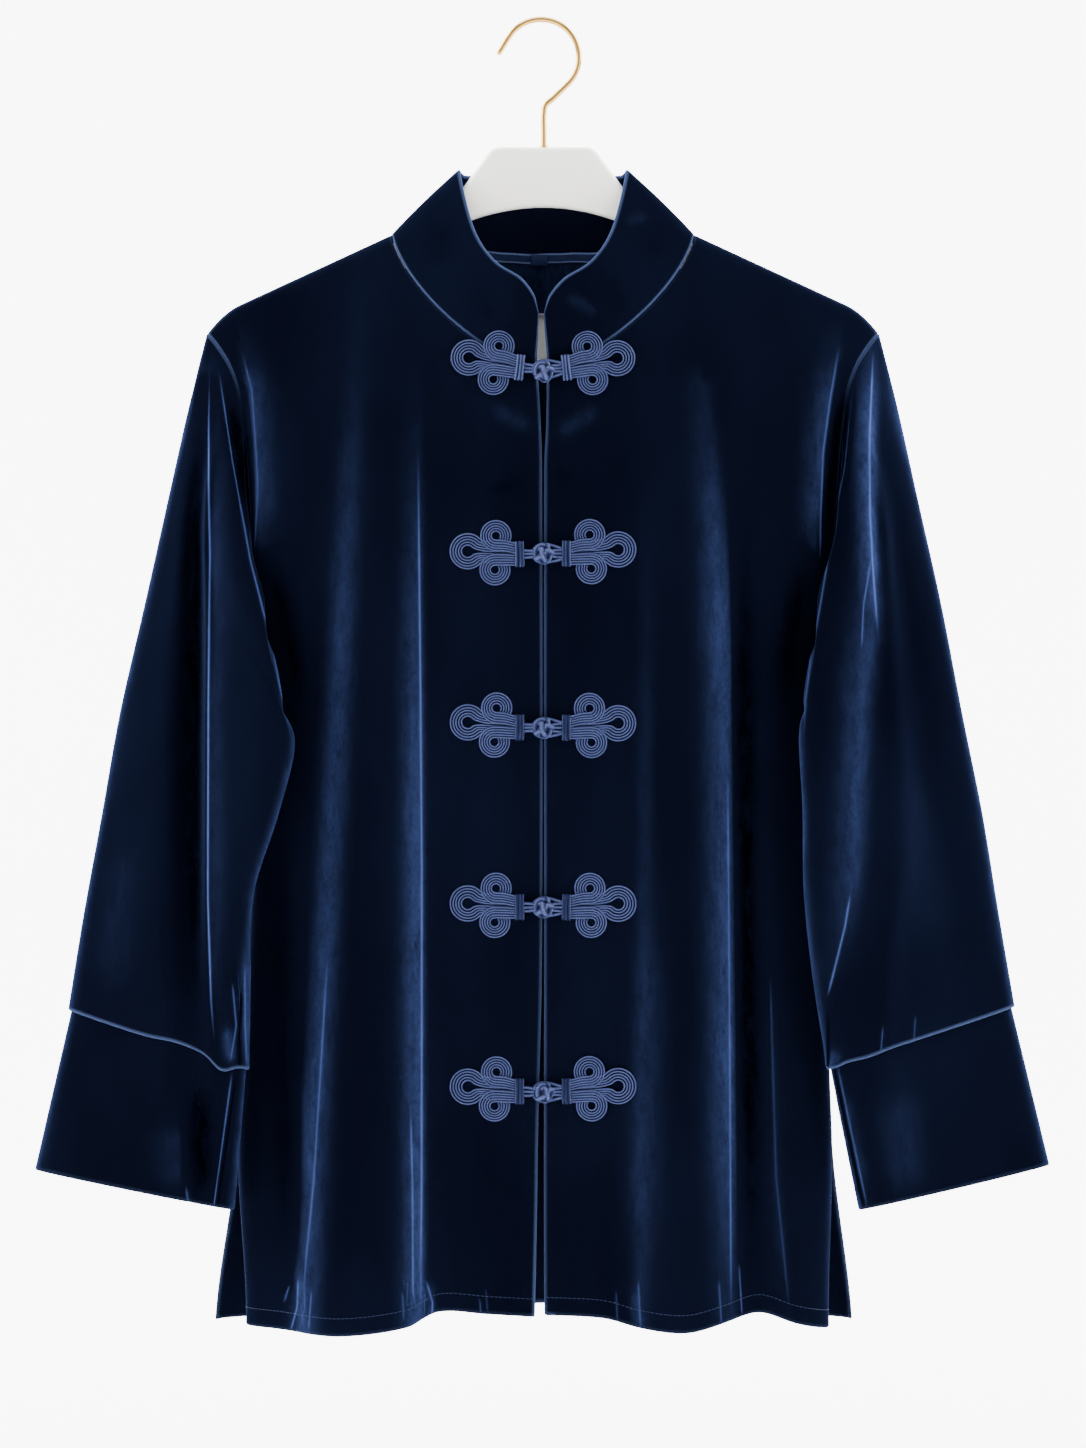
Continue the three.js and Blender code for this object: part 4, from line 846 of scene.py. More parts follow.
def velvet(name, deep, mid, bright, rim_highlight_colour):
    """Cut-pile velvet: deep colour in the pile, painted highlights beside creases and on rolled edges, and
    painted shade in troughs and seams.
    """
    made, tree, shader = material(
        name, Roughness=0.95, Specular_IOR_Level=0.0, Sheen_Weight=0.085, Sheen_Roughness=0.3,
        Sheen_Tint=(0.25, 0.37, 1.0, 1))
    coords = node(tree, "ShaderNodeTexCoord").outputs["Object"]
    nap = node(tree, "ShaderNodeAttribute", attribute_name="nap").outputs["Fac"]
    rim = node(tree, "ShaderNodeAttribute", attribute_name="rim").outputs["Fac"]
    cloud = noise(tree, coords, 9, 3, (1, 1, 0.35))
    streak = noise(tree, coords, 190, 5, (1, 1, 0.3), 0.65)
    crush = noise(tree, coords, 520, 5, (1, 1, 0.6), 0.7)
    broken = math_node(tree, "ADD", math_node(tree, "MULTIPLY", streak, 2.2),
                       math_node(tree, "MULTIPLY", crush, 2.0))
    broken = math_node(tree, "SUBTRACT", broken, 1.1)
    # painted highlights along the fine creases and painted shade in the seams
    lines = math_node(tree, "ADD", fine_line(tree, "a", 0.7), fine_line(tree, "b", 0.6))
    # above 0 this is painted highlight, below 0 painted shade
    total = math_node(tree, "ADD", math_node(tree, "MULTIPLY", nap, broken), lines)
    sweep = math_node(tree, "MULTIPLY_ADD", cloud, 1.5)
    sweep.node.inputs[2].default_value = -0.55
    sweep.node.use_clamp = True
    ground = blend_colour(tree, sweep, deep, mid)
    # painted shade towards near black, then painted highlight towards the bright colour
    shaded = math_node(tree, "MULTIPLY", total, -1.0, True)
    ground = blend_colour(tree, shaded, ground, (0.0001, 0.0002, 0.0008, 1))
    with_painted_highlight = blend_colour(tree, math_node(tree, "MULTIPLY", total, 1.0, True), ground, bright)
    # painted highlight on the rolled edges
    colour = blend_colour(tree, rim, with_painted_highlight, rim_highlight_colour)
    link(tree, colour, shader.inputs["Base Color"])
    height = math_node(tree, "ADD", math_node(tree, "MULTIPLY", streak, 0.35),
                       math_node(tree, "MULTIPLY", crush, 0.3))
    bump = node(tree, "ShaderNodeBump", Strength=0.25, Distance=0.0006)
    link(tree, height, bump.inputs["Height"])
    link(tree, bump.outputs[0], shader.inputs["Normal"])
    return made


def corded(name, shade, light):
    """Satin rat-tail cord: fine slanting threads that follow the cord's own UV map, with a painted highlight
    on the cord's crown and painted shade on its sides.
    """
    made, tree, shader = material(
        name, Roughness=0.5, Specular_IOR_Level=0.08, Sheen_Weight=0.04, Sheen_Roughness=0.3,
        Sheen_Tint=(0.45, 0.55, 1.0, 1))
    uv = node(tree, "ShaderNodeUVMap", uv_map="UVMap").outputs[0]
    split = node(tree, "ShaderNodeSeparateXYZ")
    link(tree, uv, split.inputs[0])
    around, along = split.outputs[0], split.outputs[1]
    turns = math_node(tree, "ADD", math_node(tree, "MULTIPLY", around, 3.0),
                      math_node(tree, "MULTIPLY", along, 0.9))
    wave = math_node(tree, "SINE", math_node(tree, "MULTIPLY", turns, 2 * math.pi))
    thread = math_node(tree, "MULTIPLY_ADD", wave, 0.5)
    thread.node.inputs[2].default_value = 0.5
    coords = node(tree, "ShaderNodeTexCoord").outputs["Object"]
    mottle = noise(tree, coords, 900, 3)
    # painted highlight on the crown of the cord, painted shade on its sides
    painted_crown_highlight = math_node(tree, "COSINE", math_node(tree, "MULTIPLY", around, 2 * math.pi))
    painted_crown_highlight = math_node(tree, "MULTIPLY", painted_crown_highlight, 1.0, True)
    grain = math_node(tree, "ADD", math_node(tree, "MULTIPLY", thread, 0.35),
                      math_node(tree, "ADD", mottle, 0.25))
    tone = math_node(tree, "MULTIPLY", math_node(tree, "POWER", painted_crown_highlight, 3.2), grain, True)
    link(tree, blend_colour(tree, tone, shade, light), shader.inputs["Base Color"])
    bump = node(tree, "ShaderNodeBump", Strength=0.35, Distance=0.00025)
    link(tree, thread, bump.inputs["Height"])
    link(tree, bump.outputs[0], shader.inputs["Normal"])
    return made


def woven(name, shade, light, scale, rough=0.6):
    """Narrow woven ribbon: fine ribs along its width and small changes of tone."""
    made, tree, shader = material(name, Roughness=rough, Specular_IOR_Level=0.1,
                                  Sheen_Weight=0.05, Sheen_Roughness=0.4)
    coords = node(tree, "ShaderNodeTexCoord").outputs["Object"]
    ribs = node(tree, "ShaderNodeTexWave", wave_type="BANDS", bands_direction="X", Scale=scale,
                Distortion=0.4, Detail=1.0)
    link(tree, coords, ribs.inputs["Vector"])
    cloth = noise(tree, coords, 1400, 2)
    tone = math_node(tree, "MULTIPLY", math_node(tree, "ADD", ribs.outputs["Fac"], cloth), 0.5)
    link(tree, blend_colour(tree, tone, shade, light), shader.inputs["Base Color"])
    bump = node(tree, "ShaderNodeBump", Strength=0.3, Distance=0.0002)
    link(tree, ribs.outputs["Fac"], bump.inputs["Height"])
    link(tree, bump.outputs[0], shader.inputs["Normal"])
    return made


def moulded(name, colour):
    """Satin ivory of the hanger, with a faint mottle and orange peel."""
    made, tree, shader = material(name, Specular_IOR_Level=0.5, Coat_Weight=0.25, Coat_Roughness=0.15)
    coords = node(tree, "ShaderNodeTexCoord").outputs["Object"]
    mottle = noise(tree, coords, 18, 3)
    darker = tuple(c * 0.93 for c in colour[:3]) + (1,)
    link(tree, blend_colour(tree, mottle, colour, darker), shader.inputs["Base Color"])
    rough = math_node(tree, "MULTIPLY_ADD", noise(tree, coords, 60, 2), 0.12)
    rough.node.inputs[2].default_value = 0.26
    link(tree, rough, shader.inputs["Roughness"])
    bump = node(tree, "ShaderNodeBump", Strength=0.05, Distance=0.0003)
    link(tree, noise(tree, coords, 700, 2), bump.inputs["Height"])
    link(tree, bump.outputs[0], shader.inputs["Normal"])
    return made


def polished_wire(name):
    """Brass-coloured wire, with fine drawing lines and small tarnish."""
    made, tree, shader = material(name, Metallic=1.0)
    coords = node(tree, "ShaderNodeTexCoord").outputs["Object"]
    tarnish = noise(tree, coords, 45, 4)
    link(tree, blend_colour(tree, tarnish, (0.70, 0.43, 0.13, 1), (0.52, 0.29, 0.07, 1)),
         shader.inputs["Base Color"])
    rough = math_node(tree, "MULTIPLY_ADD", noise(tree, coords, 300, 3, (1, 1, 0.2)), 0.14)
    rough.node.inputs[2].default_value = 0.12
    link(tree, rough, shader.inputs["Roughness"])
    return made


# deep and mid are the pile's own tones; the third colour is the painted highlight, the fourth the painted
# highlight on rolled edges
VELVET = velvet("navy_velvet", (0.0010, 0.0014, 0.0042, 1), (0.0028, 0.0043, 0.0125, 1),
                (0.034, 0.053, 0.155, 1), (0.10, 0.145, 0.32, 1))
FROG_CORD = corded("slate_satin_cord", (0.0035, 0.006, 0.028, 1), (0.040, 0.052, 0.132, 1))
TAPE = woven("neck_tape_weave", (0.006, 0.010, 0.036, 1), (0.015, 0.023, 0.086, 1), 420)
THREAD = woven("navy_thread", (0.004, 0.007, 0.025, 1), (0.015, 0.024, 0.064, 1), 900)
TAPE_EDGE = woven("tape_edge_thread", (0.040, 0.060, 0.150, 1), (0.110, 0.150, 0.31, 1), 900)
# grey of the label's folded top edge: painted shade
LABEL_FOLD_SHADE = woven("label_fold_painted_shade", (0.22, 0.22, 0.22, 1), (0.34, 0.34, 0.34, 1), 500)
WHITE = woven("white_satin", (0.86, 0.86, 0.85, 1), (0.93, 0.93, 0.92, 1), 500, 0.45)
IVORY = moulded("ivory", (0.97, 0.945, 0.895, 1))
BRASS = polished_wire("brass_wire")


# ------------------------------------------------------------------ cut, drape and wall the cloth
def dress(name, grid, thick, closed, flip, nap, shown):
    grid_out = grid_normals(grid, closed) * flip
    # along holds the highlight and shade painted beside the creases
    creased, along = crease(name, grid, grid_out, shown)
    marks = fine_lines(name, creased, shown)
    inside_painted_highlight = 0.0
    # painted highlight: a pool of light on the inside of the back, below the neck
    if name == "back":
        inside_painted_highlight = (0.22 * bell(grid[..., 0], 60) * ease((270 + grid[..., 2]) / 60)).reshape(-1)
    return wall(name + "_velvet", creased, thick, closed, flip, nap + along, VELVET, SEAM, marks,
                inside_painted_highlight), creased


# painted highlight along the crests of the large folds
def body_painted_highlight(face, side, grid):
    return crest_shine(face, side, abs(grid[..., 0]), -grid[..., 2])


pieces, grids = {}, {}
fronts = {side: front_grid(side) for side in SIGN}
back = back_grid()
for side, flip in (("left", -1), ("right", 1)):
    grid = fronts[side]
    name = f"front_{side}"
    pieces[name], grids[name] = dress(name, grid, CLOTH, False, flip, body_painted_highlight("front", side, grid), 1.0)
middle = back.shape[1] // 2
# painted highlight along the crests of the back's folds
back_shine = np.concatenate([body_painted_highlight("back", "left", back[:, :middle]),
                             body_painted_highlight("back", "right", back[:, middle:])], axis=1)
pieces["back"], grids["back"] = dress("back", back, CLOTH, False, -1, back_shine, 1.0)


def armhole_ring(side):
    front_arm = fronts[side][: ARM_END + 1, -1]
    back_arm = back[1:ARM_END, 0 if side == "left" else -1][::-1]
    return np.concatenate([front_arm, back_arm])


for side, flip in (("left", 1), ("right", -1)):
    part, is_front = ring_parts()
    grid = sleeve_grid(side, armhole_ring(side))
    for name, g in ((f"sleeve_{side}", grid),
                    (f"cuff_{side}", cuff_grid(side, grid, grid_normals(grid, True) * flip))):
        shown = np.where(is_front, 1.0, 0.0) * np.ones(g.shape[:2])
        started = ease((np.arange(len(g)) / len(g) - 0.03) / 0.2)[:, None] if name.startswith("sleeve") else 1
        # painted highlight along the outer rail of the sleeve and cuff
        edge_shine = 0.4 * np.maximum(0, np.cos(part * np.pi) ** 40) * started * np.ones(g.shape[:2])
        pieces[name], grids[name] = dress(name, g, CLOTH, True, flip, edge_shine, shown)

neck_row = ROW[: NECK_END + 1] / NECK_ROWS
back_n = np.linspace(0, 1, BACK_NECK_STEPS + 1)[1:]
along = np.concatenate([1 - neck_row[::-1], 2 - back_n[::-1][1:], [2.0], 2 - back_n[:-1], 1 - neck_row])
seam = np.concatenate([fronts["left"][: NECK_END + 1, 0][::-1],
                       back[0, BACK_SHOULDER_STEPS + 1: -BACK_SHOULDER_STEPS - 1],
                       fronts["right"][: NECK_END + 1, 0]])
collar = collar_grid(seam, along)
pieces["collar"], grids["collar"] = dress("collar", collar, COLLAR_WALL, False, 1,
                                          0 * collar[..., 0], 1.0)


# ------------------------------------------------------------------ cords
def smooth_path(points, count):
    """Points evenly spaced on a centripetal curve through a few places."""
    p = np.asarray(points, float)
    p = np.concatenate([[2 * p[0] - p[1]], p, [2 * p[-1] - p[-2]]])
    knots = np.concatenate([[0], np.cumsum(np.linalg.norm(np.diff(p, axis=0), axis=1) ** 0.5)])
    fine = []
    for k in range(1, len(p) - 2):
        t = np.linspace(knots[k], knots[k + 1], 12, endpoint=False)[:, None]
        k0, k1, k2, k3 = knots[k - 1: k + 3]
        a1 = (k1 - t) / (k1 - k0) * p[k - 1] + (t - k0) / (k1 - k0) * p[k]
        a2 = (k2 - t) / (k2 - k1) * p[k] + (t - k1) / (k2 - k1) * p[k + 1]
        a3 = (k3 - t) / (k3 - k2) * p[k + 1] + (t - k2) / (k3 - k2) * p[k + 2]
        b1 = (k2 - t) / (k2 - k0) * a1 + (t - k0) / (k2 - k0) * a2
        b2 = (k3 - t) / (k3 - k1) * a2 + (t - k1) / (k3 - k1) * a3
        fine.append((k2 - t) / (k2 - k1) * b1 + (t - k1) / (k2 - k1) * b2)
    fine = np.concatenate(fine + [p[-2:-1]])
    d = lengths(fine)
    at = np.linspace(0, d[-1], count)
    return np.stack([np.interp(at, d, fine[:, k]) for k in range(3)], axis=-1)


def tube(points, radius, sides=8, closed=False, squash=1.0, lead=(0, 0, 1)):
    """Swept round cord: vertices, faces and the UV of each face corner (u round, v along)."""
    points = np.asarray(points, float)
    count = len(points)
    if closed:
        tangent = unit(np.roll(points, -1, axis=0) - np.roll(points, 1, axis=0))
    else:
        tangent = unit(np.gradient(points, axis=0))
    normal = np.zeros_like(points)
    lead = np.asarray(lead, float)
    n = lead[0] if lead.ndim == 2 else np.cross(tangent[0], np.cross(lead, tangent[0]))
    for k in range(count):
        n = lead[k] if lead.ndim == 2 else n
        n = n - tangent[k] * (n @ tangent[k])
        n = n / max(1e-9, np.linalg.norm(n))
        normal[k] = n
    side = np.cross(tangent, normal)
    angle = np.arange(sides) * 2 * np.pi / sides
    ring = (normal[:, None] * (np.cos(angle) * squash)[None, :, None]
            + side[:, None] * np.sin(angle)[None, :, None])
    radii = np.broadcast_to(np.asarray(radius, float), (count,))
    verts = (points[:, None] + ring * radii[:, None, None]).reshape(-1, 3)
    along = lengths(np.concatenate([points, points[:1]]) if closed else points)
    spans = count if closed else count - 1
    faces, uv = [], []
    for r in range(spans):
        r2 = (r + 1) % count
        for k in range(sides):
            k2 = (k + 1) % sides
            faces.append([r * sides + k, r * sides + k2, r2 * sides + k2, r2 * sides + k])
            u0, u1 = k / sides, (k + 1) / sides
            uv += [(u0, along[r]), (u1, along[r]), (u1, along[r + 1]), (u0, along[r + 1])]
    if not closed:
        tips = [points[0] - tangent[0] * radii[0] * 0.6, points[-1] + tangent[-1] * radii[-1] * 0.6]
        for end, row in ((0, 0), (1, count - 1)):
            tip = len(verts)
            verts = np.concatenate([verts, tips[end][None]])
            for k in range(sides):
                k2 = (k + 1) % sides
                pair = ([row * sides + k2, row * sides + k] if end == 0
                        else [row * sides + k, row * sides + k2])
                faces.append(pair + [tip])
                uv += [(0, 0)] * 3
    return verts, faces, uv


def bundle(name, tubes, material):
    """One mesh object from several tubes."""
    verts, faces, uv, base = [], [], [], 0
    for v, f, t in tubes:
        verts.append(v)
        faces += [[i + base for i in face] for face in f]
        uv += t
        base += len(v)
    return make(name, np.concatenate(verts), faces, material, uv=uv)


def arc(centre, radius, first, last, count, way):
    """Arc in the frog's plane; 0 degrees points outwards and 90 away from the frog's middle line."""
    a = np.radians(np.linspace(first, last, count))
    return np.stack([centre[0] + radius * np.cos(a), centre[1] + way * radius * np.sin(a), 0 * a], axis=-1)


def bezier(p0, p1, p2, p3, count):
    t = np.linspace(0, 1, count)[:, None]
    return (1 - t) ** 3 * p0 + 3 * (1 - t) ** 2 * t * p1 + 3 * (1 - t) * t * t * p2 + t**3 * p3


def curl(lobe, way, cords=5):
    """Bundle that leaves the band, passes the lobe's inner side and curls back on itself."""
    made = []
    centre = np.array([lobe["out"], lobe["up"]])
    for k in range(cords):
        radius = lobe["radius"] - CORD - CORD_PITCH * 0.93 * k
        ring = arc(centre, radius, -90, 238 - 4 * k, 44, way)
        start = np.array([BAND_TO - 1.5, way * (0.8 + 1.5 * k), 0])
        foot = ring[0] - np.array([4.5, 0, 0])
        run = bezier(start, start + [2.5, 0, 0], foot - [1.0, 0, 0], foot + [2.0, 0, 0], 9)
        path = np.concatenate([run[:-2], ring])
        total = len(path)
        part = np.arange(total) / (total - 1)
        path[:, 2] = CORD + 1.15 * (1 - ease(part / 0.42)) - 0.35 * ease((part - 0.85) / 0.15)
        made.append(smooth_path(path[::2], 62))
    return made


def teardrop(lobe, cords=5):
    """Outer lobe: nested drops whose two ends run inwards below the other lobes."""
    made = []
    for k in range(cords):
        radius = lobe["radius"] - CORD - CORD_PITCH * k
        ring = arc((lobe["out"], lobe["up"]), radius, -136, 136, 34, 1)
        reach = BAND_TO + 0.6
        ends = []
        for way, tip in ((-1, ring[0]), (1, ring[-1])):
            inner = np.array([reach, lobe["up"] * 0.3 + way * (0.75 + 1.3 * (cords - 1 - k)), 0])
            joint = np.array([lobe["out"] - lobe["radius"] - 6.5,
                              lobe["up"] * 0.5 + way * (0.8 + 1.6 * (cords - 1 - k)), 0])
            turn = np.array([-math.sin(math.radians(44)), way * -math.cos(math.radians(44)), 0])
            run = bezier(tip, tip + turn * 3.2, joint + [4.5, 0, 0], joint, 10)
            ends.append(np.concatenate([run, [mix(joint, inner, 0.5), inner]]))
        path = np.concatenate([ends[0][::-1][:-1], ring, ends[1][1:]])
        part = np.abs(np.linspace(-1, 1, len(path)))
        path[:, 2] = CORD * 1.0 - 0.2 * ease((part - 0.62) / 0.3)
        made.append(smooth_path(path, 74))
    return made


def wraps():
    """Three turns of cord round the bundle, between the lobes and the stem."""
    made = []
    for k in range(3):
        phi = np.linspace(-0.06, 1.06, 20) * np.pi
        out = BAND_FROM + 0.9 + k * 1.85
        up = BAND_HALF * np.sign(np.cos(phi)) * np.abs(np.cos(phi)) ** 0.7
        lift = 0.5 + 2.9 * np.maximum(0, np.sin(phi)) ** 0.6
        made.append(np.stack([out + 0.15 * np.sin(phi * 2 + k), up, lift], axis=-1))
    return made


def stem(side, slack):
    """Three cords from the band to the ball knot; one half ends in a loop round the knot."""
    made = []
    for k, up in enumerate((-2.1, 0.0, 2.1)):
        points = [(BAND_FROM + 1.5, up * 1.1, 2.2), (9.5, up * (1.0 + slack), 2.6), (5.6, up * 0.9, 3.8)]
        made.append(smooth_path(points, 10))
    if side == "right":
        ring = [(12.6, 3.1, 2.2), (8.6, 4.2, 2.8), (4.4, 5.4, 3.0), (-1.0, 5.8, 3.0), (-5.2, 3.4, 3.0),
                (-6.2, 0, 3.0), (-5.0, -3.6, 3.0), (-0.6, -5.9, 3.2), (4.2, -5.3, 3.6), (8.8, -4.4, 3.2),
                (12.6, -3.4, 2.4)]
        made.append(smooth_path(ring, 44))
    return made


def seat_plane(side, down):
    """Plane in which a frog half lies: it fits the cloth best and touches its highest place."""
    trees = [surface_tree(f"front_{side}"), surface_tree("collar")]
    rows = []
    for lobe in LOBES.values():
        for k in range(12):
            a = k * math.pi / 6
            rows.append((lobe["out"] + lobe["radius"] * math.cos(a),
                         lobe["up"] + lobe["radius"] * math.sin(a)))
    rows += [(out, up) for out in (BAND_FROM, BAND_TO) for up in (-BAND_HALF, 0, BAND_HALF)]
    hits = []
    for out, up in rows:
        start = Vector((SIGN[side] * out, -200, up - down))
        found = [tree.ray_cast(start, Vector((0, 1, 0)))[0] for tree in trees]
        y = min(hit.y for hit in found if hit is not None)
        hits.append((out, up, y))
    hits = np.array(hits)
    system = np.stack([hits[:, 0], hits[:, 1], np.ones(len(hits))], axis=-1)
    plane = np.linalg.lstsq(system, hits[:, 2], rcond=None)[0]
    plane[2] -= np.max(system @ plane - hits[:, 2]) - 0.5
    return plane


TREES = {}


def surface_tree(name):
    if name not in TREES:
        grid = grids[name]
        rows, cols = grid.shape[:2]
        index = np.arange(rows * cols).reshape(rows, cols)
        quads = np.stack([index[:-1, :-1], index[1:, :-1], index[1:, 1:], index[:-1, 1:]], axis=-1)
        TREES[name] = BVHTree.FromPolygons(grid.reshape(-1, 3).tolist(), quads.reshape(-1, 4).tolist())
    return TREES[name]


def frog_half(number, side, down):
    rng = np.random.default_rng(40 + number * 2 + (side == "right"))
    plane = seat_plane(side, down)
    down = down - (1.2 if number == 1 else 0.0)
    tilt = math.radians(rng.uniform(-1.5, 1.5) + (6.0 if number == 1 else 0))
    tubes = []
    paths = teardrop(LOBES["outer"]) + curl(LOBES["upper"], 1) + curl(LOBES["lower"], -1)
    paths = [(p, CORD) for p in paths] + [(p, 0.98) for p in wraps()]
    paths += [(p, 1.02) for p in stem(side, rng.uniform(-0.1, 0.25))]
    for path, radius in paths:
        path = path + rng.normal(0, 0.04, 3)
        out = path[:, 0] * math.cos(tilt) - path[:, 1] * math.sin(tilt)
        up = path[:, 1] * math.cos(tilt) + path[:, 0] * math.sin(tilt)
        y = plane[0] * out + plane[1] * up + plane[2] - path[:, 2]
        placed = np.stack([SIGN[side] * out, y, up - down], axis=-1)
        tubes.append(tube(placed, radius, lead=(0, -1, 0)))
    return bundle(f"frog_{number}_{side}_cord", tubes, FROG_CORD)


def ball_knot(number, down):
    """Woven ball: three leads and four bights on a sphere, over a core."""
    rng = np.random.default_rng(7 * number)
    t = np.linspace(0, 6 * np.pi, 150, endpoint=False)
    latitude = 1.12 * np.cos(4 * t / 3)
    radius = 4.75 + 0.62 * np.sin(8 * t / 3)
    points = np.stack([np.cos(t) * np.cos(latitude), np.sin(t) * np.cos(latitude), np.sin(latitude)], axis=-1)
    points = points * radius[:, None]
    lean, spin = math.radians(38 + rng.uniform(-14, 14)), rng.uniform(0, 2 * math.pi)
    turn_z = np.array([[math.cos(spin), -math.sin(spin), 0], [math.sin(spin), math.cos(spin), 0], [0, 0, 1]])
    turn_x = np.array([[1, 0, 0], [0, math.cos(lean), -math.sin(lean)], [0, math.sin(lean), math.cos(lean)]])
    roll = rng.uniform(-0.6, 0.6)
    turn_y = np.array([[math.cos(roll), 0, math.sin(roll)], [0, 1, 0], [-math.sin(roll), 0, math.cos(roll)]])
    points = points @ (turn_y @ turn_x @ turn_z).T
    panel = float(body_point("front", "right", np.float64(0), np.float64(down))[1])
    centre = np.array([0.4, panel - KNOT_LIFT, -down])
    core_path = centre + np.array([[0, 0, z] for z in np.linspace(-3.9, 3.9, 13)])
    core_radius = np.sqrt(np.maximum(0.3, 4.3**2 - np.linspace(-3.9, 3.9, 13) ** 2))
    return bundle(f"knot_{number}_cord", [tube(points + centre, 1.72, sides=10, closed=True, lead=points),
                                          tube(core_path, core_radius, sides=14, lead=(0, 1, 0))], FROG_CORD)


for number, down in enumerate(FROG_DOWN, 1):
    for side in SIGN:
        pieces[f"frog_{number}_{side}"] = frog_half(number, side, down)
    pieces[f"knot_{number}"] = ball_knot(number, down)


# ------------------------------------------------------------------ tape, loop and label
def back_strip(half_from, half_to, cols, rows, top_at, height, clear, wave=0.0):
    x = np.linspace(half_from, half_to, cols)[None, :] * np.ones((rows, 1))
    down = top_at(x) + height * np.linspace(0, 1, rows)[:, None]
    made = np.zeros((rows, cols, 3))
    for side, chosen in (("left", x < 0), ("right", x >= 0)):
        p = body_point("back", side, turn_of("back", side, abs(x), down), down)
        p[..., 0] = x
        made = np.where(chosen[..., None], p, made)
    made[..., 1] -= clear
    made[..., 2] += wave * np.sin(x / 7.3) + 0.5 * wave * np.sin(x / 3.1 + 1)
    return made


INNER = CLOTH * 1.12 + 0.5
no_painted_light = lambda grid: 0 * grid[..., 0]
tape_grid = back_strip(-78, 78, 90, 7, lambda x: neck_dip(x) - 3.4, 6.6, INNER, 0.28)
pieces["neck_tape"] = wall("neck_tape_woven", tape_grid, 0.9, False, -1, no_painted_light(tape_grid), TAPE, 0)
loop_grid = back_strip(-8, 3, 14, 10, lambda x: BACK_NECK_DOWN - 2.6 + 0 * x, 7.0, INNER + 1.3)
loop_grid[..., 1] -= 0.5 * np.sin(np.linspace(0, np.pi, 10))[:, None]
pieces["hanging_loop"] = wall("hanging_loop_woven", loop_grid, 1.2, False, -1, no_painted_light(loop_grid), TAPE, 0)
label_grid = back_strip(-23, 23, 30, 26, lambda x: 184 + 0 * x, 40, INNER)
pieces["label"] = wall("blank_label", label_grid, 0.9, False, -1, no_painted_light(label_grid), WHITE, 0)
# the label's folded top edge, grey as painted shade
fold_grid = back_strip(-22.6, 22.6, 30, 6, lambda x: 184.4 + 0 * x, 2.6, INNER + 1.2)
pieces["label_fold"] = wall("label_top_fold", fold_grid, 0.5, False, -1, no_painted_light(fold_grid), LABEL_FOLD_SHADE, 0)


# ------------------------------------------------------------------ stitching, by geometry nodes
def stitch_tree():
    """Turns lines of edges into rows of short round stitches."""
    tree = bpy.data.node_groups.new("stitch_rows", "GeometryNodeTree")
    face = tree.interface
    face.new_socket("Geometry", in_out="INPUT", socket_type="NodeSocketGeometry")
    for label_, value in (("Pitch", 0.0028), ("Stitch Length", 0.0019), ("Thread Radius", 0.00022)):
        socket = face.new_socket(label_, in_out="INPUT", socket_type="NodeSocketFloat")
        socket.default_value = value
    face.new_socket("Thread", in_out="INPUT", socket_type="NodeSocketMaterial")
    face.new_socket("Geometry", in_out="OUTPUT", socket_type="NodeSocketGeometry")
    new = tree.nodes.new
    given, result = new("NodeGroupInput"), new("NodeGroupOutput")
    to_curve = new("GeometryNodeMeshToCurve")
    spaced = new("GeometryNodeResampleCurve")
    spaced.mode = "LENGTH"
    place = new("GeometryNodeInstanceOnPoints")
    tangent = new("GeometryNodeInputTangent")
    align = new("FunctionNodeAlignRotationToVector")
    align.axis = "Z"
    stitch = new("GeometryNodeMeshCylinder")
    stitch.inputs["Vertices"].default_value = 6
    real = new("GeometryNodeRealizeInstances")
    paint_it = new("GeometryNodeSetMaterial")
    wire = tree.links.new
    wire(given.outputs["Geometry"], to_curve.inputs[0])
    wire(to_curve.outputs[0], spaced.inputs["Curve"])
    wire(given.outputs["Pitch"], spaced.inputs["Length"])
    wire(spaced.outputs[0], place.inputs["Points"])
    wire(tangent.outputs[0], align.inputs["Vector"])
    wire(align.outputs[0], place.inputs["Rotation"])
    wire(given.outputs["Thread Radius"], stitch.inputs["Radius"])
    wire(given.outputs["Stitch Length"], stitch.inputs["Depth"])
    wire(stitch.outputs["Mesh"], place.inputs["Instance"])
    wire(place.outputs[0], real.inputs[0])
    wire(real.outputs[0], paint_it.inputs["Geometry"])
    wire(given.outputs["Thread"], paint_it.inputs["Material"])
    wire(paint_it.outputs[0], result.inputs[0])
    return tree


def stitched(name, lines, thread, **sizes):
    """Piece made of stitches along lines of points."""
    verts = np.concatenate(lines) * MM
    edges, base = [], 0
    for line in lines:
        edges += [(base + k, base + k + 1) for k in range(len(line) - 1)]
        base += len(line)
    mesh = bpy.data.meshes.new(name + "_lines")
    mesh.from_pydata(verts.tolist(), edges, [])
    guide = bpy.data.objects.new(name + "_lines", mesh)
    bpy.context.scene.collection.objects.link(guide)
    modifier = guide.modifiers.new("stitches", "NODES")
    modifier.node_group = STITCHES
    for item in STITCHES.interface.items_tree:
        if item.in_out == "INPUT" and item.name in sizes:
            modifier[item.identifier] = sizes[item.name]
        if item.in_out == "INPUT" and item.name == "Thread":
            modifier[item.identifier] = thread
    done = bpy.data.meshes.new_from_object(guide.evaluated_get(bpy.context.evaluated_depsgraph_get()))
    piece = bpy.data.objects.new(name, done)
    bpy.context.scene.collection.objects.link(piece)
    bpy.data.objects.remove(guide)
    return piece


def row_beside(grid, normals, border, distance, lift, first=0, last=None):
    """Line on a piece's surface at a distance from one of its borders."""
    g, n = ((grid, normals) if border in ("top", "bottom")
            else (grid.transpose(1, 0, 2), normals.transpose(1, 0, 2)))
    if border in ("bottom", "right"):
        g, n = g[::-1], n[::-1]
    line = []
    for c in range(first, g.shape[1] if last is None else last):
        d = lengths(g[:, c])
        p = np.array([np.interp(distance, d, g[:, c, k]) for k in range(3)])
        own = np.array([np.interp(distance, d, n[:, c, k]) for k in range(3)])
        line.append(p + own * lift)
    return np.array(line)


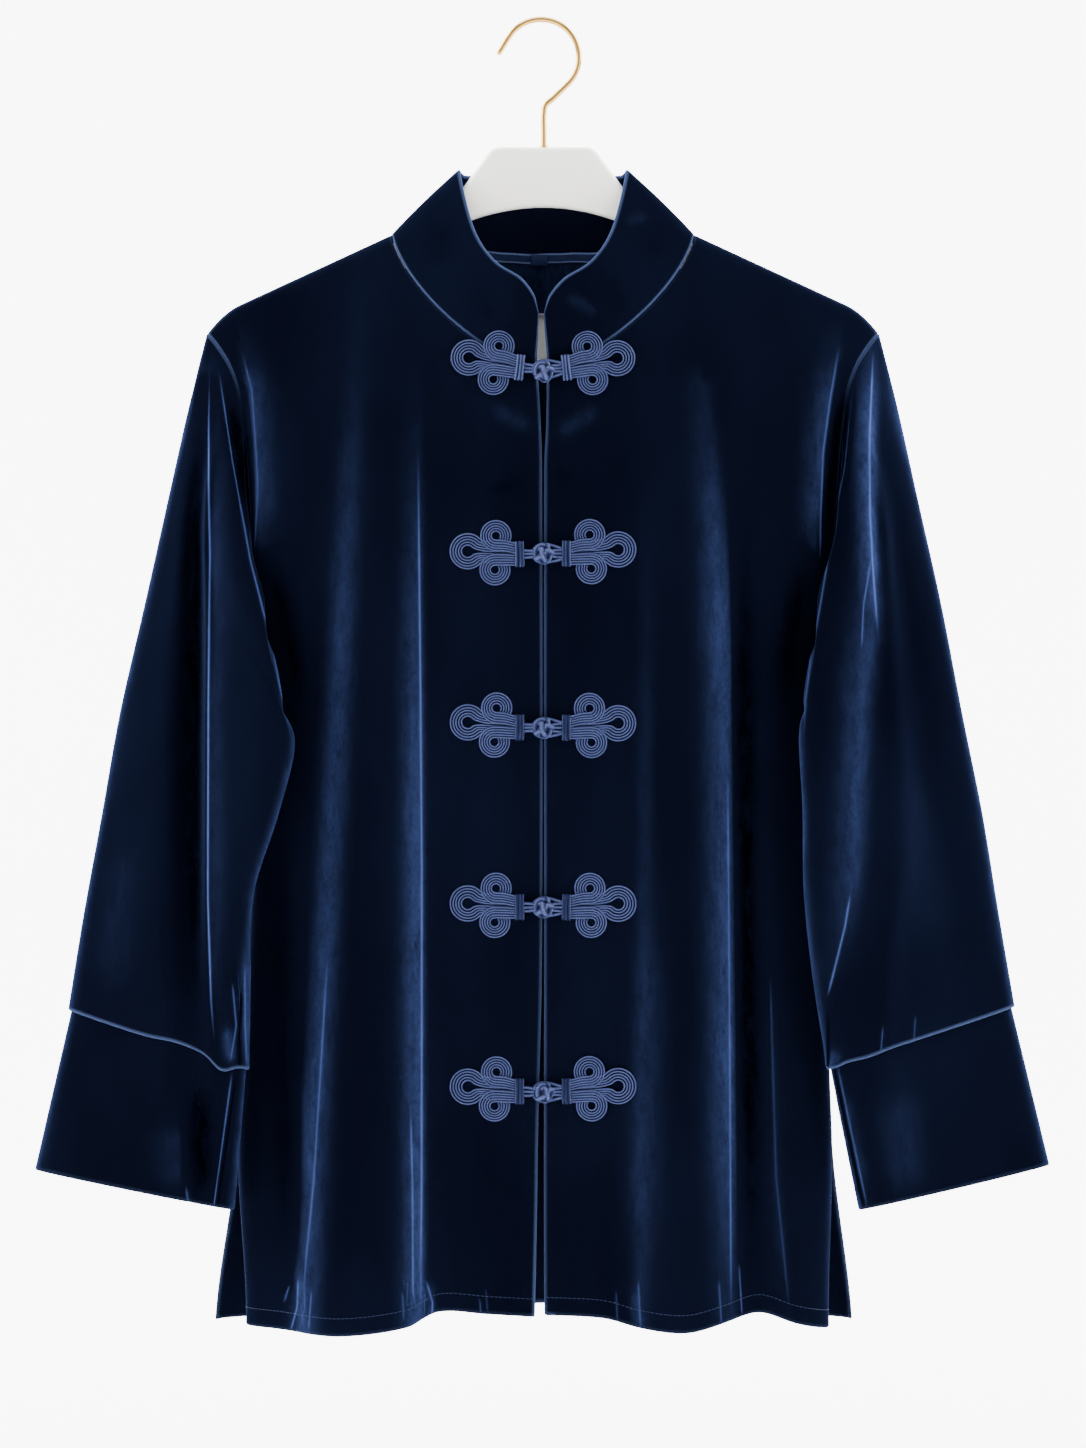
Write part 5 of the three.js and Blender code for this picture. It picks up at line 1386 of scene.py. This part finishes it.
STITCHES = stitch_tree()
seam_lines = []
for side, flip in (("left", -1), ("right", 1)):
    g = grids[f"front_{side}"]
    n = grid_normals(g, False) * flip
    seam_lines.append(row_beside(g, n, "bottom", 11.5, 0.02, 1, g.shape[1] - 4))
    seam_lines.append(row_beside(g, n, "right", 8.5, 0.05, VENT_END - 2, g.shape[0] - 4))
g = grids["back"]
n = -grid_normals(g, False)
seam_lines.append(row_beside(g, n, "bottom", 11.5, 0.05, 6, g.shape[1] - 6))
for border in ("left", "right"):
    seam_lines.append(row_beside(g, n, border, 8.5, 0.05, VENT_END - 2, g.shape[0] - 4))
pieces["topstitch"] = stitched("hem_and_vent_stitching", seam_lines, THREAD)
small = []
n = -grid_normals(tape_grid, False)
for border in ("top", "bottom"):
    small.append(row_beside(tape_grid, -n, border, 0.8, 1.05, 1, 89))
pieces["tape_stitch"] = stitched("tape_edge_stitching", small, TAPE_EDGE, **{
    "Thread Radius": 0.0005, "Stitch Length": 0.0026})


# ------------------------------------------------------------------ hanger and hook
def hanger_outline():
    """Half of the hanger's outline, drawn in by its rounded edge, from the top's middle round."""
    e = HANGER_EDGE
    seat = lambda x: -(float(shoulder_down(np.float64(x))) + HANGER_SEAT + e
                       + 1.4 * float(ease((x - 130) / 50)))
    end = HANGER_END

    def bend(a, b, c, count=14):
        t = np.linspace(0, 1, count)[:, None]
        a, b, c = (np.array(p, float) for p in (a, b, c))
        return ((1 - t) ** 2 * a + 2 * (1 - t) * t * b + t * t * c).tolist()
    half = bend((35 - e - 5, -PLATE_DOWN - e), (35 - e - 0.5, -PLATE_DOWN - e),
                (35 - e + 2.2, -PLATE_DOWN - e - 4.4), 8)
    half += bend((57 - e, -115), (70, -134), (92, seat(92) - 1))
    half += [(x, seat(x)) for x in np.linspace(104, end - 8, 12)]
    half += bend((end - 8, seat(end - 8)), (end, seat(end)), (end, seat(end) - 5), 8)[1:]
    half += bend((end, seat(end) - 5), (end, -206), (end - 9, -204), 8)[1:]
    half += bend((110, -170), (70, -140), (50, -128 + e))
    half += bend((50, -128 + e), (25, -118.6 + e), (0, -118.4 + e), 10)[1:-1]
    return half


def hanger_body():
    half = hanger_outline()
    loop = half + [(0, half[-1][1] + 0.1)] + [(-x, z) for x, z in half[::-1]]
    curve = bpy.data.curves.new("hanger_outline", "CURVE")
    curve.dimensions = "2D"
    curve.fill_mode = "BOTH"
    curve.extrude = (HANGER_THICK / 2 - HANGER_EDGE) * MM
    curve.bevel_depth = HANGER_EDGE * MM
    curve.bevel_resolution = 5
    spline = curve.splines.new("POLY")
    spline.points.add(len(loop) - 1)
    for point, (x, z) in zip(spline.points, loop):
        point.co = (x * MM, z * MM, 0, 1)
    spline.use_cyclic_u = True
    drawn = bpy.data.objects.new("hanger_outline", curve)
    bpy.context.scene.collection.objects.link(drawn)
    flat = bpy.data.meshes.new_from_object(drawn.evaluated_get(bpy.context.evaluated_depsgraph_get()))
    verts = np.array([v.co for v in flat.vertices]) / MM
    faces = [list(p.vertices) for p in flat.polygons]
    bpy.data.objects.remove(drawn)
    # the outline's plane is turned upright: its y becomes z, and its z becomes -y
    obj = make("hanger_ivory", np.stack([verts[:, 0], -verts[:, 2], verts[:, 1]], axis=-1), faces, IVORY)
    work = bmesh.new()
    work.from_mesh(obj.data)
    bmesh.ops.remove_doubles(work, verts=work.verts, dist=1e-6)
    bmesh.ops.recalc_face_normals(work, faces=work.faces)
    work.to_mesh(obj.data)
    work.free()
    obj.data.shade_smooth()
    obj.data.set_sharp_from_angle(angle=math.radians(40))
    return obj


def hook_wire():
    centre_down = HOOK_RADIUS - WIRE
    route = [(-28.6, 0, -20.3)]
    for degrees in range(148, -45, -12):
        a = math.radians(degrees)
        route.append((HOOK_X + HOOK_RADIUS * math.cos(a), 0, -centre_down + HOOK_RADIUS * math.sin(a)))
    route += [(6, 0, -49.2), (1.4, 0, -53.4), (STEM_X, 0, -58), (STEM_X, 0, -70),
              (STEM_X, 0, -PLATE_DOWN - 12)]
    path = smooth_path(route, 220)
    radius = np.full(len(path), WIRE)
    radius[0], radius[1] = WIRE * 0.72, WIRE * 0.93
    collar_path = np.array([(STEM_X, 0, -PLATE_DOWN + 1.1 - 0.3 * k) for k in range(8)])
    collar_radius = [WIRE + 0.4, WIRE + 0.95, WIRE + 1.15, WIRE + 1.2,
                     WIRE + 1.2, WIRE + 1.2, WIRE + 1.2, WIRE + 1.2]
    return bundle("hook_wire", [tube(path, radius, sides=20, lead=(0, 1, 0)),
                                tube(collar_path, collar_radius, sides=24, lead=(0, 1, 0))], BRASS)


pieces["hanger"] = hanger_body()
pieces["hook"] = hook_wire()

# ------------------------------------------------------------------ ride and replace
for name, piece in pieces.items():
    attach(piece, "root")
    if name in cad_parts:
        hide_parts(name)

# ------------------------------------------------------------------ stage, light and camera
def backdrop():
    """Pale floor that sweeps up behind the jacket."""
    profile = [(-6.0, -1.02)] + [(0.9 + 0.6 * math.sin(a), -0.42 - 0.6 * math.cos(a))
                                 for a in np.linspace(0, math.pi / 2, 24)] + [(1.5, 4.0)]
    verts = [(x, y, z) for y, z in profile for x in (-7.0, 7.0)]
    faces = [[2 * k, 2 * k + 1, 2 * k + 3, 2 * k + 2] for k in range(len(profile) - 1)]
    paper, tree, shader = material("backdrop_paper", Base_Color=(0.97, 0.97, 0.97, 1), Roughness=0.9,
                                   Emission_Strength=3.2)
    split = node(tree, "ShaderNodeSeparateXYZ")
    link(tree, node(tree, "ShaderNodeTexCoord").outputs["Object"], split.inputs[0])
    behind = math_node(tree, "MULTIPLY", math_node(tree, "SUBTRACT", split.outputs[1], 0.7), 2.0, True)
    link(tree, blend_colour(tree, behind, (0.2, 0.2, 0.2, 1), (1, 1, 1, 1)), shader.inputs["Emission Color"])
    stage = make("backdrop", np.array(verts) / MM, faces, paper)


def soft_light(name, place, aim, size, power, colour=(1, 1, 1)):
    data = bpy.data.lights.new(name, "AREA")
    data.shape = "RECTANGLE"
    data.size, data.size_y = size
    data.energy = power
    data.color = colour
    lamp = bpy.data.objects.new(name, data)
    lamp.location = place
    lamp.rotation_euler = (Vector(aim) - Vector(place)).to_track_quat("-Z", "Y").to_euler()
    bpy.context.scene.collection.objects.link(lamp)


backdrop()
soft_light("left_softbox", (-2.6, -2.2, 0.9), (0, 0, -0.4), (1.6, 2.2), 62)
soft_light("right_softbox", (2.4, -2.4, 0.4), (0, 0, -0.45), (1.4, 2.0), 44)
soft_light("top_softbox", (0, -0.6, 2.2), (0, 0, -0.4), (2.4, 1.6), 64)
soft_light("backdrop_light_left", (-2.4, 0.2, 1.2), (0.4, 1.5, -0.4), (1.2, 2.4), 260)
soft_light("backdrop_light_right", (2.4, 0.2, 1.2), (-0.4, 1.5, -0.4), (1.2, 2.4), 260)

world = bpy.data.worlds.new("studio")
world.use_nodes = True
world.node_tree.nodes["Background"].inputs[0].default_value = (0.95, 0.97, 1.0, 1)
world.node_tree.nodes["Background"].inputs[1].default_value = 0.8
bpy.context.scene.world = world

camera_data = bpy.data.cameras.new("studio_camera")
camera_data.sensor_fit = "AUTO"
camera_data.sensor_width = 36
camera_data.lens = 36 * 3.7 / 0.9267
camera = bpy.data.objects.new("studio_camera", camera_data)
camera.location = (0, -3.7, -0.449)
camera.rotation_euler = (math.pi / 2, 0, 0)
bpy.context.scene.collection.objects.link(camera)
bpy.context.scene.camera = camera
